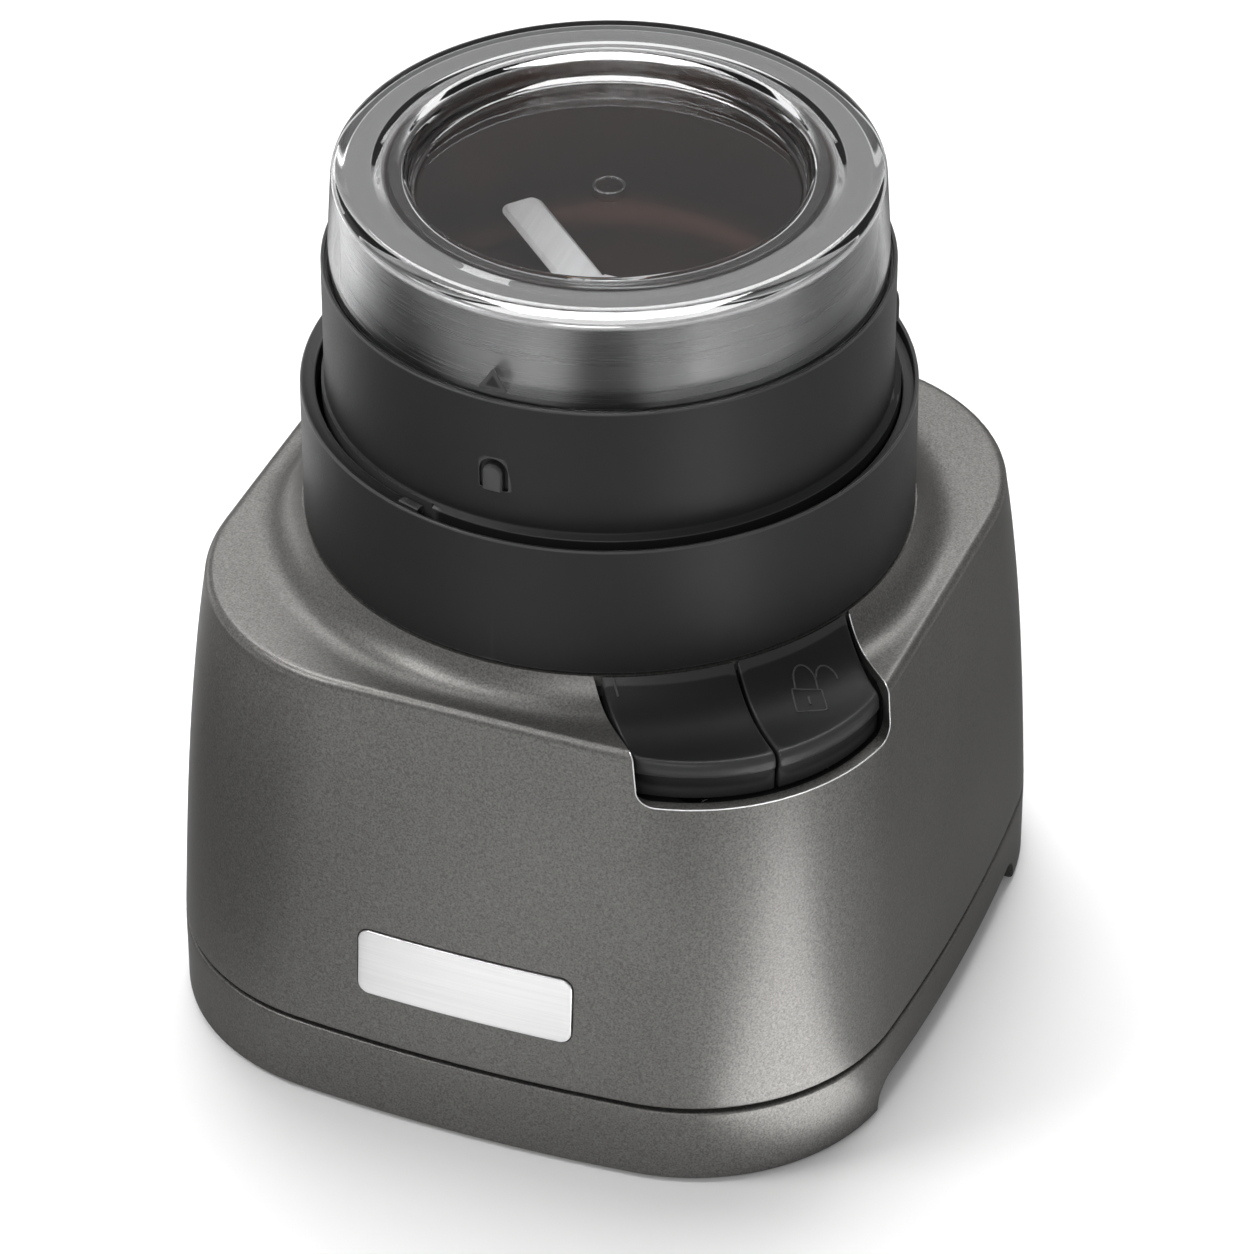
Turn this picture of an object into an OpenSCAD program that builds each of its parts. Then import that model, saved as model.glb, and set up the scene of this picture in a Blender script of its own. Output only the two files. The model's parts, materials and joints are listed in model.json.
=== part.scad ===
// Electric food chopper: a power base with a grinding mill on its drive tower.
// Millimetres, +Z up, front towards -Y, origin on the floor under the drive axis.

/* [Base] */
// Overall width of the base at its seam
base_w = 160; // [150:1:190]
// Overall depth of the base at its seam
base_d = 167; // [158:1:200]
// Radius of the upright corners in plan
corner_r = 45; // [38:0.5:52]
// How far each side bulges in its middle
side_bow = 1.6; // [0.4:0.1:3]
// Width across the shoulder, where the walls turn into the top
shoulder_w = 148; // [144:1:150]
// Depth across the shoulder
shoulder_d = 148; // [144:1:154]
// Height of the shoulder above the floor
shoulder_z = 102.6; // [101:0.2:115]
// Radius of the shoulder's edge
edge_r = 2; // [1.5:0.5:4]
// Height of the seam between plinth and housing
plinth_h = 19; // [17:0.5:24]
// Height of the dark line at the seam
seam_gap = 1; // [0.3:0.1:1.2]
// Wall thickness of the housing
shell_wall = 2.5; // [2:0.1:3]
// Wall thickness of the plinth
plinth_wall = 2.4; // [1.8:0.1:2.6]
// How far the rubber feet lift the plinth off the floor
floor_gap = 0.8; // [0.4:0.1:2]
// Height of the plinth's tray, underside
tray_z = 8.6; // [8.2:0.1:9.6]
// Thickness of the plinth's tray
tray_t = 2.4; // [2:0.1:3]
// Length of the arch under each side of the plinth
arch_l = 84; // [70:1:90]
// Where the middle of the arch lies, front to back
arch_y = -3; // [-6:0.5:6]
// Height of the arch above the floor
arch_h = 7.8; // [6.8:0.1:8]
// Radius of the arch's upper corners
arch_r = 6.8; // [4:0.2:6.8]
// Radius of the rubber feet
foot_r = 8; // [6:0.5:10]
// Side distance of the feet from the axis
foot_x = 48; // [42:1:52]
// Front and back distance of the feet from the axis
foot_y = 62; // [58:1:66]

/* [Badge] */
// Width of the bare badge plate
badge_w = 47; // [36:1:56]
// Height of the badge plate
badge_h = 15.5; // [10:0.5:20]
// Corner radius of the badge plate
badge_r = 2.5; // [1:0.5:4]
// Height of the badge's centre
badge_z = 39.6; // [34:0.2:50]
// Place of the badge's centre across the front
badge_x = 0.8; // [-4:0.2:4]
// How far the badge stands proud of the wall
badge_proud = 0.5; // [0.3:0.1:0.9]
// Thickness of the badge plate
badge_t = 1.2; // [1:0.1:1.5]

/* [Tower] */
// Outer radius of the tower ring
tower_r = 63; // [62:0.2:64]
// Height of the tower ring
tower_h = 29.7; // [28:0.1:36]
// Rise of the housing's flare up to the tower
flare_h = 5.9; // [5:0.1:8]
// Width of the flare around the tower
flare_w = 11; // [8:0.5:16]
// Inner radius of the tower's lower wall
tower_in_r = 60.6; // [60.2:0.1:60.8]
// Thickness of the thin rim at the tower's mouth
rim_t = 0.9; // [0.8:0.1:1.5]
// Depth of the band inside the tower's mouth
rim_h = 5; // [3:0.5:7]
// Inner radius of the tower's mouth
lip_r = 59.75; // [59.2:0.05:59.8]

/* [Mill] */
// Outer radius of the mill body
mill_r = 58; // [57.6:0.1:58.4]
// Radius of the narrower skirt inside the tower
skirt_r = 56.5; // [55.6:0.1:56.6]
// Wall thickness of the mill body
mill_wall = 2.4; // [2:0.1:2.6]
// Rise of the mill body above the tower
mill_rise = 28.1; // [24:0.1:36]
// Rise of the cup's flange above the mill body
cup_rise = 19.3; // [16:0.1:26]
// Gap between the cup's band and the lid's wall
cup_gap = 0.5; // [0.4:0.1:1]
// Inner radius of the bowl
bowl_r = 44.2; // [43:0.1:44.4]
// Depth of the bowl from its flange
bowl_depth = 39; // [34:0.5:40]
// Thickness of the cup's sheet
sheet_t = 0.8; // [0.6:0.1:1]
// Radius of the blade's tips
blade_tip_r = 40; // [32:0.5:42]
// Width of the blade
blade_w = 9; // [7:0.5:12]
// Thickness of the blade
blade_t = 1.2; // [1:0.1:1.6]
// Upward tilt of the blade's arms
blade_tilt = 6; // [0:1:10]
// Direction of the blade at rest
blade_turn = 140; // [0:5:180]

/* [Lid] */
// Outer radius at the lid's foot
lid_foot_r = 56.8; // [56.4:0.1:56.8]
// Outer radius under the lid's rounded top edge
lid_top_r = 55.4; // [55.3:0.1:56]
// Height of the lid above the cup's flange
lid_rise = 3.4; // [3:0.1:5]
// Wall thickness of the lid
lid_wall = 1.5; // [1.2:0.1:1.5]
// Radius of the lid's top edge
lid_edge_r = 2.8; // [1.5:0.1:3]
// Inner radius of the well in the lid
well_r = 40.2; // [36:0.2:40.4]
// Depth of the well
well_depth = 6; // [4:0.5:9]
// Wall thickness of the well
well_wall = 1.7; // [1.4:0.1:1.9]

/* [Keys] */
// Direction of the keys, seen from above
key_turn = -45; // [-48:1:-42]
// Width of both keys together
keys_w = 53.4; // [48:0.2:56]
// Gap between the two keys
key_gap = 0.7; // [0.5:0.1:1]
// Gap between the keys and the housing
key_clear = 1.2; // [0.5:0.1:1.5]
// Height of the bottom edge of the slot in the housing
slot_z = 91.4; // [90:0.2:93]
// Height of the keys' outer top edge
key_top_z = 100; // [99:0.2:101]
// Height of the keys' lower edge
key_low_z = 91; // [90.6:0.2:93]
// Rise of the keys' tops towards the tower
key_rise = 9; // [7:0.2:9.2]
// Thickness of the keys' skin
key_skin = 2.2; // [1.8:0.1:2.4]
// Distance of the pivot pin from the drive axis
pivot_s = 60; // [59:0.2:61]
// Height of the pivot pin
pivot_z = 96; // [95.4:0.2:96.2]
// Radius of the pivot pin
pivot_r = 1.5; // [1.2:0.1:1.7]

/* [Motor] */
// Radius of the motor shaft
shaft_r = 4; // [3:0.5:5]
// Radius of the armature
armature_r = 17; // [15:0.5:18]
// Height of the iron stack
stack_h = 30; // [26:1:32]
// Width of the stator
stator_w = 64; // [62:1:70]
// Depth of the stator
stator_d = 60; // [58:1:66]
// Radius of the cooling fan
fan_r = 28; // [22:0.5:29]
// Distance of the rubber motor mounts from the axis
mount_s = 38; // [37:0.5:42]
// Outer radius of the motor bearings
bearing_r = 11; // [10:0.5:12]
// Radius of the commutator
commutator_r = 9; // [8:0.5:10]

/* [Hidden] */
$fn = 96;

// Fits: fixed pieces, turning pieces, and pieces that move past each other
fit = 0.1;
run_fit = 0.05;
slide_gap = 0.3;
eps = 0.01;
big = 400;

// Base walls
arc_steps = 12;
side_steps = 6;
wall_rings = 8;
top_rings = 7;
flare_curve = 3;
seam_a = base_w/2 - side_bow;
seam_b = base_d/2 - side_bow;
house_z = plinth_h + seam_gap/2;
plinth_top_z = plinth_h - seam_gap/2;
tray_top_z = tray_z + tray_t;
throat_r = tower_r + 0.4;

// Heights up the tower, the mill and the lid
tower_z = shoulder_z + flare_h + 0.4;
tower_top_z = tower_z + tower_h;
mill_top_z = tower_top_z + mill_rise;
cup_top_z = mill_top_z + cup_rise;
lid_top_z = cup_top_z + lid_rise;
mouth_drop = 2.6;
lip_set = 0.1;
lip_t = 3.2;
lip_start = -106;
lip_sweep = 94;
ledge_t = 2.1;
ledge_top_z = tower_z + ledge_t;
ledge_in_r = 55.5;
mill_foot_z = ledge_top_z + slide_gap;

// Deck under the tower
deck_t = 2.9;
deck_z = tower_z - 6.3;
deck_top_z = deck_z + deck_t;
deck_hole_r = tower_r - 4;
deck_rim_r = deck_hole_r - slide_gap;
deck_r = deck_rim_r + 3.3;
deck_screw_s = deck_hole_r + 1.5;
deck_screw_r = 1.2;
deck_screw_bite = 1.6;
deck_head_r = 2.3;
deck_head_h = 1.6;
deck_screw_count = 6;
deck_screw_turn = key_turn + 43;
seal_r = 9;
seal_h = 5;

// Motor, from the tray upwards
boss_h = 6;
mount_h = 4;
bracket_t = 4;
bracket_z = tray_top_z + boss_h + mount_h;
bearing_h = 7;
turns_h = 7;
stack_z = bracket_z + bearing_h + 3 + turns_h;
stack_top_z = stack_z + stack_h;
commutator_z = stack_top_z + turns_h + 1;
commutator_h = 10;
upper_z = commutator_z + commutator_h + 3;
bolt_r = 2;
bolt_x = stator_w/2 - 6;
bolt_y = stator_d/2 - 6;
leg_r = 4.5;
fan_z = tray_top_z + 2;
fan_h = 5.5;
shaft_low_z = fan_z - 1;
air_gap = 0.5;
mount_screw_r = 2;
mount_r = 6;
brush_in = commutator_r + slide_gap;
brush_w = 5;
brush_h = 7;
brush_l = 12;
armature_slots = 12;
slot_w = 3.4;
slot_in = 8.5;

// Drive between base and mill
coupling_z = deck_top_z + 4.5;
coupling_h = 12.5;
coupling_r = 8;
coupling_tooth_r = 10.5;
coupling_tooth_w = 5;
coupling_teeth = 6;
socket_r = 14;
socket_z = ledge_top_z + 0.6;
socket_web_z = coupling_z + coupling_h + 1;
socket_top_z = socket_web_z + 4;
spindle_r = 4;
thread_r = 3;

// Mill
flange_r = lip_r - 0.35;
flange_h = 3;
flange_z = tower_top_z - flange_h;
slope_h = 0.9;
relief_r = flange_r - 0.8;
relief_gap = 1.6;
lip_h = 1.2;
cup_r = min(lid_top_r, lid_foot_r) - lid_wall - cup_gap;
cup_hole_r = cup_r + 0.35;
cup_low_z = mill_top_z - 6.2;
gasket_h = 1.6;
shelf_z = cup_low_z - gasket_h - 0.2;
shelf_t = 2.5;
shelf_in_r = cup_r - 2.9;
bowl_z = cup_top_z - bowl_depth;
bowl_corner_r = 6;
mill_plate_z = ledge_top_z + 7;
mill_plate_t = 3;
mill_plate_r = skirt_r - mill_wall - 0.3;
bush_r = 8;
bush_flange_r = 9.5;
bush_flange_h = 2;
seal_lip_h = 1.6;
blade_z = bowl_z + bush_flange_h + seal_lip_h + 1.4;
mill_screw_s = shelf_in_r - 0.5;
mill_screw_r = 1.45;
mill_screw_l = 14;
lug_w = 4.2;
lug_h = 6.2;
lug_z = tower_top_z + 8.5;
lug_out = 1.2;
lug_count = 3;
lug_turn = -1.2;
pocket_gap = 1;
pocket_depth = 1.3;
keeper_z = ledge_top_z + 6;
keeper_h = 3;
keeper_depth = 1.2;

// Lid
lid_z = mill_top_z + slide_gap;
lid_plate_z = lid_top_z - 2.2;
window_t = 2;
well_floor_z = lid_top_z - well_depth;
plug_r = well_r + well_wall;

// Keys, in the frame of the slot: s outwards from the axis, t across, z up
corner_s = (wall_half_w(slot_z) - corner_r + wall_half_d(slot_z) - corner_r)/sqrt(2);
key_face_r = corner_r - shell_wall - 0.9;
key_in_r = throat_r + slide_gap;
key_half = keys_w/2;
slot_half = key_half + key_clear;
slot_corner_r = 3;
key_reach = 21;
key_curve = 3.5;
key_steps = 8;
key_step_z = mix(key_low_z, key_top_z, 0.62);
key_step = 0.5;
key_arms = [2, key_half - 6.2];
key_arm_w = 4;
frame_floor_t = 2;
frame_floor_z = key_low_z - 5.5;
frame_top_z = frame_floor_z + frame_floor_t;
frame_wall = 2.2;
frame_back_s = 51;
frame_half = slot_half + slide_gap;
frame_screw_s = frame_back_s + 2;
frame_screw_t = key_half - 5.8;
spring_s = 74;
switch_s = 66;
spring_r = 3.4;
wire_r = 0.45;
spring_turns = 5;
wire_sides = 6;
turn_rings = 8;
spring_seat = 0.8;
spring_low_z = frame_top_z - spring_seat;
spring_top_z = key_z(norm([spring_s, key_half/2]) + spring_r) - key_skin - fit;
switch_h = 6;
switch_l = 6;
switch_w = 13;
plunger_h = 1;
plunger_r = 1.5;
switch_play = 0.7;

// Release latch: along its own direction over the right key
latch_turn = key_turn + 13;
latch_travel = 1.6;
latch_w = 9;
latch_t = 2.6;
latch_z = deck_z - slide_gap - latch_t;
latch_in_s = 46;
latch_out_s = 60.4;
nose_s = skirt_r + 0.7;
nose_t = 1.4;

// Fixings between plinth and housing
post_x = base_w/2 - 14;
post_y = base_d/2 - 37.5;
post_r = 4.5;
post_top_z = 45;
post_screw_r = 1.6;
post_screw_l = 18;
post_head_r = 3;
head_h = 1.8;
posts = [for (sx = [-1, 1], sy = [-1, 1]) [sx*post_x, sy*post_y]];
feet = [for (sx = [-1, 1], sy = [-1, 1]) [sx*foot_x, sy*foot_y]];
stem_r = 3;

// Cord gland in the back wall
gland_z = 33;
gland_bore_r = 3.6;
gland_r = 6.9;
gland_back_y = wall_reach_d(gland_z) - 0.3;
gland_l = 8.4;

// Control board at the back
board_w = 70;
board_h = 46;
board_t = 1.6;
board_y = base_d/2 - 23;
board_z = tray_top_z + 20;

// Interlock: the place of the reed switch and of the magnet above it
reed_s = 34;
reed_turn = 150;
magnet_r = 5;
magnet_h = 3.9;

function mix(a, b, u) = a + (b - a)*u;
function rise(z) = max(0, min(1, (z - plinth_h)/(shoulder_z - plinth_h)));
function lean(z) = 0.55*rise(z) + 0.45*pow(rise(z), 3);
function wall_half_w(z) = mix(seam_a, shoulder_w/2, lean(z));
function wall_half_d(z) = mix(seam_b, shoulder_d/2, lean(z));
function wall_bow(z) = mix(side_bow, 0, lean(z));
function wall_reach_d(z) = wall_half_d(z) + wall_bow(z);
function along(h) = [cos(h), sin(h)];

// Rectangle with round corners and bulging sides, from its half sizes
function outline(a, b, r, bow) = [
  for (q = [0:3])
    let (
      sx = [1, -1, -1, 1],
      sy = [1, 1, -1, -1],
      here = [sx[q]*(a - r), sy[q]*(b - r)],
      next = [sx[(q + 1)%4]*(a - r), sy[(q + 1)%4]*(b - r)],
      out = along(90*q + 90)
    )
      each concat(
        [for (i = [0:arc_steps]) here + r*along(90*q + 90*i/arc_steps)],
        [for (j = [1:side_steps - 1]) let (u = j/side_steps)
          mix(here, next, u) + (r + 4*bow*u*(1 - u))*out]
      )
];

function wall_outline(z, inset) =
  outline(wall_half_w(z) - inset, wall_half_d(z) - inset, corner_r - inset, wall_bow(z));
function wall_ring(z, inset, at_z) = [for (p = wall_outline(z, inset)) [p.x, p.y, at_z]];
function shoulder_ring(h) =
  wall_ring(shoulder_z - edge_r, edge_r*(1 - cos(h)), shoulder_z - edge_r*(1 - sin(h)));

// Ring of the top face, from the shoulder (u = 0) to the foot of the tower (u = 1)
function top_ring(u, inset) = [
  for (p = wall_outline(shoulder_z - edge_r, edge_r + inset))
    let (
      far = norm(p),
      rad = mix(far, throat_r, u),
      reach = min(flare_w, far - throat_r),
      up = flare_h*pow(max(0, 1 - (rad - throat_r)/reach), flare_curve)
    )
      [p.x*rad/far, p.y*rad/far, shoulder_z + up - inset]
];

// Place of a ring across the top face, closer together towards the tower
function top_place(k) = 1 - pow(1 - k/top_rings, 1.5);

// Solid skinned over a stack of rings with equal point counts
module loft(rings) {
  n = len(rings[0]);
  m = len(rings);
  polyhedron(
    points = [for (ring = rings) each ring],
    faces = concat(
      [[for (i = [0:n - 1]) i]],
      [[for (i = [n - 1:-1:0]) (m - 1)*n + i]],
      [for (k = [0:m - 2], i = [0:n - 1]) [k*n + i, (k + 1)*n + i, k*n + (i + 1)%n]],
      [for (k = [0:m - 2], i = [0:n - 1])
        [k*n + (i + 1)%n, (k + 1)*n + i, (k + 1)*n + (i + 1)%n]]
    )
  );
}

module tube(r_out, r_in, h) {
  difference() {
    cylinder(r = r_out, h = h);
    translate([0, 0, -1]) cylinder(r = r_in, h = h + 2);
  }
}

// Rectangle with true round corners, centred
module round_rect(w, h, r) {
  square([w - 2*r, h], center = true);
  square([w, h - 2*r], center = true);
  for (sx = [-1, 1], sy = [-1, 1]) translate([sx*(w/2 - r), sy*(h/2 - r)]) circle(r = r);
}

module screw(shank_r, length, head_r, head_h) {
  cylinder(r = shank_r, h = length);
  translate([0, 0, -head_h]) cylinder(r = head_r, h = head_h);
}

// Frame of the keys: X runs outwards along the slot, Y across it
module at_keys() {
  rotate([0, 0, key_turn]) children();
}

module at_latch() {
  rotate([0, 0, latch_turn]) children();
}

module at_mounts() {
  for (h = [0:90:270]) rotate([0, 0, h]) translate([mount_s, 0, 0]) children();
}

module at_bolts() {
  for (sx = [-1, 1], sy = [-1, 1]) translate([sx*bolt_x, sy*bolt_y, 0]) children();
}

module at_deck_screws() {
  for (i = [0:deck_screw_count - 1])
    rotate([0, 0, deck_screw_turn + 360*i/deck_screw_count]) translate([deck_screw_s, 0, 0])
      children();
}

module at_mill_screws() {
  for (i = [0:lug_count - 1])
    rotate([0, 0, -30 + 360*i/lug_count]) translate([mill_screw_s, 0, 0]) children();
}

// Screws that hold the key frame to the deck, in the frame of the keys
module at_frame_screws() {
  for (side = [-1, 1]) translate([frame_screw_s, side*frame_screw_t, 0]) children();
}

// Slot for the keys: open at the top, with rounded lower corners
module key_slot() {
  difference() {
    at_keys() translate([pivot_s - 10, 0, 0]) rotate([90, 0, 90]) linear_extrude(60) {
      translate([-slot_half, slot_z + slot_corner_r]) square([2*slot_half, 40]);
      translate([-slot_half + slot_corner_r, slot_z])
        square([2*(slot_half - slot_corner_r), slot_corner_r + eps]);
      for (side = [-1, 1])
        translate([side*(slot_half - slot_corner_r), slot_z + slot_corner_r])
          circle(r = slot_corner_r);
    }
    cylinder(r = throat_r - 0.2, h = big);
  }
}

// Curved plate on the front wall, standing proud by the given amount and reaching in by depth
module badge_shape(grow, proud, depth) {
  side_l = 2*(wall_half_w(badge_z) - corner_r);
  bend_r = side_l*side_l/(8*wall_bow(badge_z));
  step = 1;
  back = atan((wall_reach_d(badge_z - step) - wall_reach_d(badge_z + step))/(2*step));
  translate([0, -wall_reach_d(badge_z), badge_z]) rotate([-back, 0, 0]) intersection() {
    rotate([90, 0, 0]) translate([badge_x, 0, -10]) linear_extrude(20)
      round_rect(badge_w + 2*grow, badge_h + 2*grow, badge_r + grow);
    translate([0, bend_r, -badge_h]) tube(bend_r + proud, bend_r - depth, 2*badge_h);
  }
}

module housing() {
  outer = concat(
    [for (k = [0:wall_rings])
      let (z = mix(house_z, shoulder_z - edge_r, k/wall_rings)) wall_ring(z, 0, z)],
    [for (h = [30:30:90]) shoulder_ring(h)],
    [for (k = [1:top_rings]) top_ring(top_place(k), 0)]
  );
  inner = concat(
    [wall_ring(house_z, shell_wall, house_z - 1)],
    [for (k = [1:wall_rings])
      let (z = mix(house_z, shoulder_z - edge_r - shell_wall, k/wall_rings))
        wall_ring(z, shell_wall, z)],
    [for (k = [0:top_rings]) top_ring(top_place(k), shell_wall)]
  );
  rib_z = house_z + 4;
  rib_l = 9.4;
  rib_t = 2;
  screw_depth = tray_z + post_screw_l + 1.4;
  color([0.42, 0.41, 0.4]) difference() {
    union() {
      difference() {
        loft(outer);
        loft(inner);
      }
      for (p = posts) translate(p) {
        translate([0, 0, tray_top_z + 0.2])
          cylinder(r = post_r, h = post_top_z - tray_top_z - 0.2);
        translate([p.x > 0 ? 0 : -rib_l, -rib_t/2, rib_z])
          cube([rib_l, rib_t, post_top_z - rib_z]);
      }
    }
    translate([0, 0, shoulder_z - 10]) cylinder(r = deck_hole_r, h = big);
    key_slot();
    latch_window();
    badge_shape(fit, 2, badge_t - badge_proud + fit);
    translate([0, 0, gland_z]) rotate([-90, 0, 0]) cylinder(r = gland_r + fit, h = big);
    at_deck_screws() translate([0, 0, deck_z]) cylinder(r = deck_screw_r + run_fit, h = 5.4);
    for (p = posts) translate([p.x, p.y, 0]) cylinder(r = post_screw_r, h = screw_depth);
  }
}

// Arch through both sides, with rounded upper corners
module arch() {
  translate([-big/2, arch_y, 0]) rotate([90, 0, 90]) linear_extrude(big) {
    translate([-arch_l/2, -5]) square([arch_l, arch_h - arch_r + 5]);
    translate([-arch_l/2 + arch_r, 0]) square([arch_l - 2*arch_r, arch_h]);
    for (side = [-1, 1])
      translate([side*(arch_l/2 - arch_r), arch_h - arch_r]) circle(r = arch_r);
  }
}

module plinth_outline(inset) {
  polygon(outline(seam_a - inset, seam_b - inset, corner_r - inset, side_bow));
}

module plinth_band(z, h, from, to) {
  translate([0, 0, z]) linear_extrude(h) difference() {
    plinth_outline(from);
    plinth_outline(to);
  }
}

module plinth() {
  tongue = shell_wall + slide_gap;
  vent_in = 12;
  vent_l = 12;
  vent_w = 3;
  color([0.38, 0.37, 0.36]) difference() {
    union() {
      plinth_band(floor_gap, plinth_top_z - floor_gap, 0, plinth_wall);
      plinth_band(tray_z, plinth_h + 3 - tray_z, tongue, tongue + 2);
      translate([0, 0, tray_z]) linear_extrude(tray_t) plinth_outline(1);
      plinth_band(tray_z, plinth_top_z - 1 - tray_z, 1, tongue + 1);
      at_mounts() cylinder(r = mount_r - 0.5, h = tray_top_z + boss_h);
      for (side = [-1, 1]) translate([side*(board_w/2 + 1) - 3, board_y - 4, tray_z])
        cube([6, 8 + board_t, board_z + board_h*0.6 - tray_z]);
    }
    arch();
    translate([-big/2, -big/2, -5]) cube([big, big, floor_gap + 5]);
    linear_extrude(tray_z) plinth_outline(plinth_wall);
    at_mounts() translate([0, 0, tray_top_z + 1])
      cylinder(r = mount_screw_r + run_fit, h = boss_h);
    translate([-board_w/2 - fit, board_y, board_z - fit])
      cube([board_w + 2*fit, board_t + 2*fit, board_h + 2*fit]);
    for (p = posts) translate(p) cylinder(r = post_screw_r + fit, h = tray_top_z + 5);
    for (p = feet) translate(p) cylinder(r = stem_r, h = tray_top_z + 5);
    for (h = [0:30:330]) rotate([0, 0, h]) translate([vent_in, -vent_w/2, 0])
      cube([vent_l, vent_w, tray_top_z + 5]);
  }
}

module badge_plate() {
  color([0.86, 0.86, 0.87]) badge_shape(0, badge_proud, badge_t - badge_proud);
}

module rubber_feet() {
  color([0.12, 0.12, 0.12]) for (p = feet) translate(p) {
    cylinder(r = foot_r, h = tray_z);
    cylinder(r = stem_r - run_fit, h = tray_top_z + 1);
    translate([0, 0, tray_top_z]) cylinder(r = stem_r + 1.4, h = 1.5);
  }
}

module plinth_screws() {
  color([0.7, 0.7, 0.72]) for (p = posts) translate([p.x, p.y, tray_z])
    screw(post_screw_r - run_fit, post_screw_l, post_head_r, head_h);
}

module cord_gland() {
  flange_y = gland_back_y - shell_wall - 0.5;
  color([0.1, 0.1, 0.1]) translate([0, 0, gland_z]) rotate([-90, 0, 0]) difference() {
    union() {
      translate([0, 0, gland_back_y - gland_l]) cylinder(r = gland_r, h = gland_l);
      translate([0, 0, gland_back_y - gland_l])
        cylinder(r = gland_r + 2, h = flange_y - gland_back_y + gland_l);
    }
    cylinder(r = gland_bore_r, h = big);
  }
}

// Cut that lets the latch nose rise past the deck, the housing's lip and the tower's ledge
module latch_window() {
  at_latch() translate([nose_s - slide_gap, -latch_w/2 - slide_gap, deck_z - 1])
    cube([nose_t + latch_travel + 2*slide_gap, latch_w + 2*slide_gap, ledge_top_z - deck_z + 2]);
}

module tower_ring() {
  rim_in_r = tower_r - rim_t;
  rim_z = tower_top_z - rim_h;
  tab_sweep = 4.5;
  tab_h = 0.5;
  color([0.13, 0.13, 0.13]) difference() {
    union() {
      rotate_extrude() polygon([
        [ledge_in_r, tower_z], [tower_r, tower_z], [tower_r, tower_top_z], [rim_in_r, tower_top_z],
        [rim_in_r, tower_top_z - mouth_drop], [lip_r, tower_top_z - mouth_drop], [lip_r, rim_z],
        [tower_in_r, rim_z - 1], [tower_in_r, ledge_top_z], [ledge_in_r, ledge_top_z]
      ]);
      rotate([0, 0, lip_start - lip_sweep]) rotate_extrude(angle = lip_sweep)
        translate([lip_r + lip_set, tower_top_z - lip_t]) square([rim_in_r - lip_r, lip_t]);
      rotate([0, 0, lip_start - tab_sweep]) rotate_extrude(angle = tab_sweep)
        translate([lip_r + 0.3, tower_top_z - 1]) square([rim_in_r - lip_r - 0.5, 1 + tab_h]);
    }
    latch_window();
  }
}

module drive_deck() {
  boss_r = seal_r + 3;
  boss_low_z = deck_top_z - seal_h - 1.5;
  guide_h = latch_t + slide_gap + 1.6;
  guide_w = 2;
  guide_l = 7;
  collar_t = 4;
  color([0.16, 0.16, 0.16]) difference() {
    union() {
      translate([0, 0, deck_z]) cylinder(r = deck_r, h = deck_t);
      translate([0, 0, deck_z]) tube(deck_rim_r, deck_rim_r - collar_t, tower_z - deck_z);
      translate([0, 0, boss_low_z]) cylinder(r = boss_r, h = tower_z - 1 - boss_low_z);
      at_latch() for (side = [-1, 1]) {
        translate([latch_in_s + 1, side*(latch_w/2 + slide_gap + guide_w/2) - guide_w/2,
            deck_z - guide_h])
          cube([guide_l, guide_w, guide_h + 1]);
        translate([latch_in_s + 1, side*(latch_w/2 + slide_gap) - (side > 0 ? 1.5 : 0.5),
            deck_z - guide_h])
          cube([guide_l, 2, 1.3]);
      }
    }
    translate([0, 0, deck_top_z - seal_h]) cylinder(r = seal_r + run_fit, h = big);
    cylinder(r = shaft_r + 0.6, h = big);
    at_deck_screws() cylinder(r = deck_screw_r + run_fit, h = big);
    at_keys() at_frame_screws() translate([0, 0, deck_z - 1])
      cylinder(r = deck_screw_r + run_fit, h = deck_t);
    latch_window();
  }
}

module deck_screws() {
  color([0.7, 0.7, 0.72]) at_deck_screws() translate([0, 0, deck_z])
    screw(deck_screw_r, deck_t + deck_screw_bite, deck_head_r, deck_head_h);
}

module drive_seal() {
  color([0.2, 0.2, 0.2]) translate([0, 0, deck_top_z - seal_h])
    tube(seal_r, shaft_r + 0.08, seal_h + 1.5);
}

// Motor bracket: plate with a bearing cup, legs towards the stack and bolt holes
module bracket(z, legs_z, legs_h, arms) {
  hub_r = bearing_r + 3;
  arm_w = 16;
  arm_end = 8;
  vent_w = 5;
  vent_l = 24;
  difference() {
    union() {
      translate([-stator_w/2, -stator_d/2, z]) cube([stator_w, stator_d, bracket_t]);
      if (arms) {
        for (h = [0, 90]) rotate([0, 0, h]) translate([-mount_s - arm_end, -arm_w/2, z])
          cube([2*(mount_s + arm_end), arm_w, bracket_t]);
      }
      translate([0, 0, z]) cylinder(r = hub_r, h = bearing_h + 2);
      at_bolts() translate([0, 0, legs_z]) cylinder(r = leg_r, h = legs_h);
    }
    translate([0, 0, z - 1]) cylinder(r = shaft_r + 1.5, h = big);
    translate([0, 0, z + 2]) cylinder(r = bearing_r + run_fit, h = big);
    at_bolts() cylinder(r = bolt_r + fit, h = big);
    if (arms) at_mounts() cylinder(r = mount_screw_r + fit, h = z + big/2);
    for (side = [-1, 1]) translate([side*(hub_r + vent_w) - vent_w/2, -vent_l/2, z - 1])
      cube([vent_w, vent_l, bracket_t + 2]);
  }
}

module lower_bracket() {
  color([0.62, 0.63, 0.65])
    bracket(bracket_z, bracket_z + bracket_t - eps, stack_z - bracket_z - bracket_t + eps, true);
}

module upper_bracket() {
  color([0.62, 0.63, 0.65])
    bracket(upper_z, stack_top_z, upper_z - stack_top_z + eps, false);
}

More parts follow.
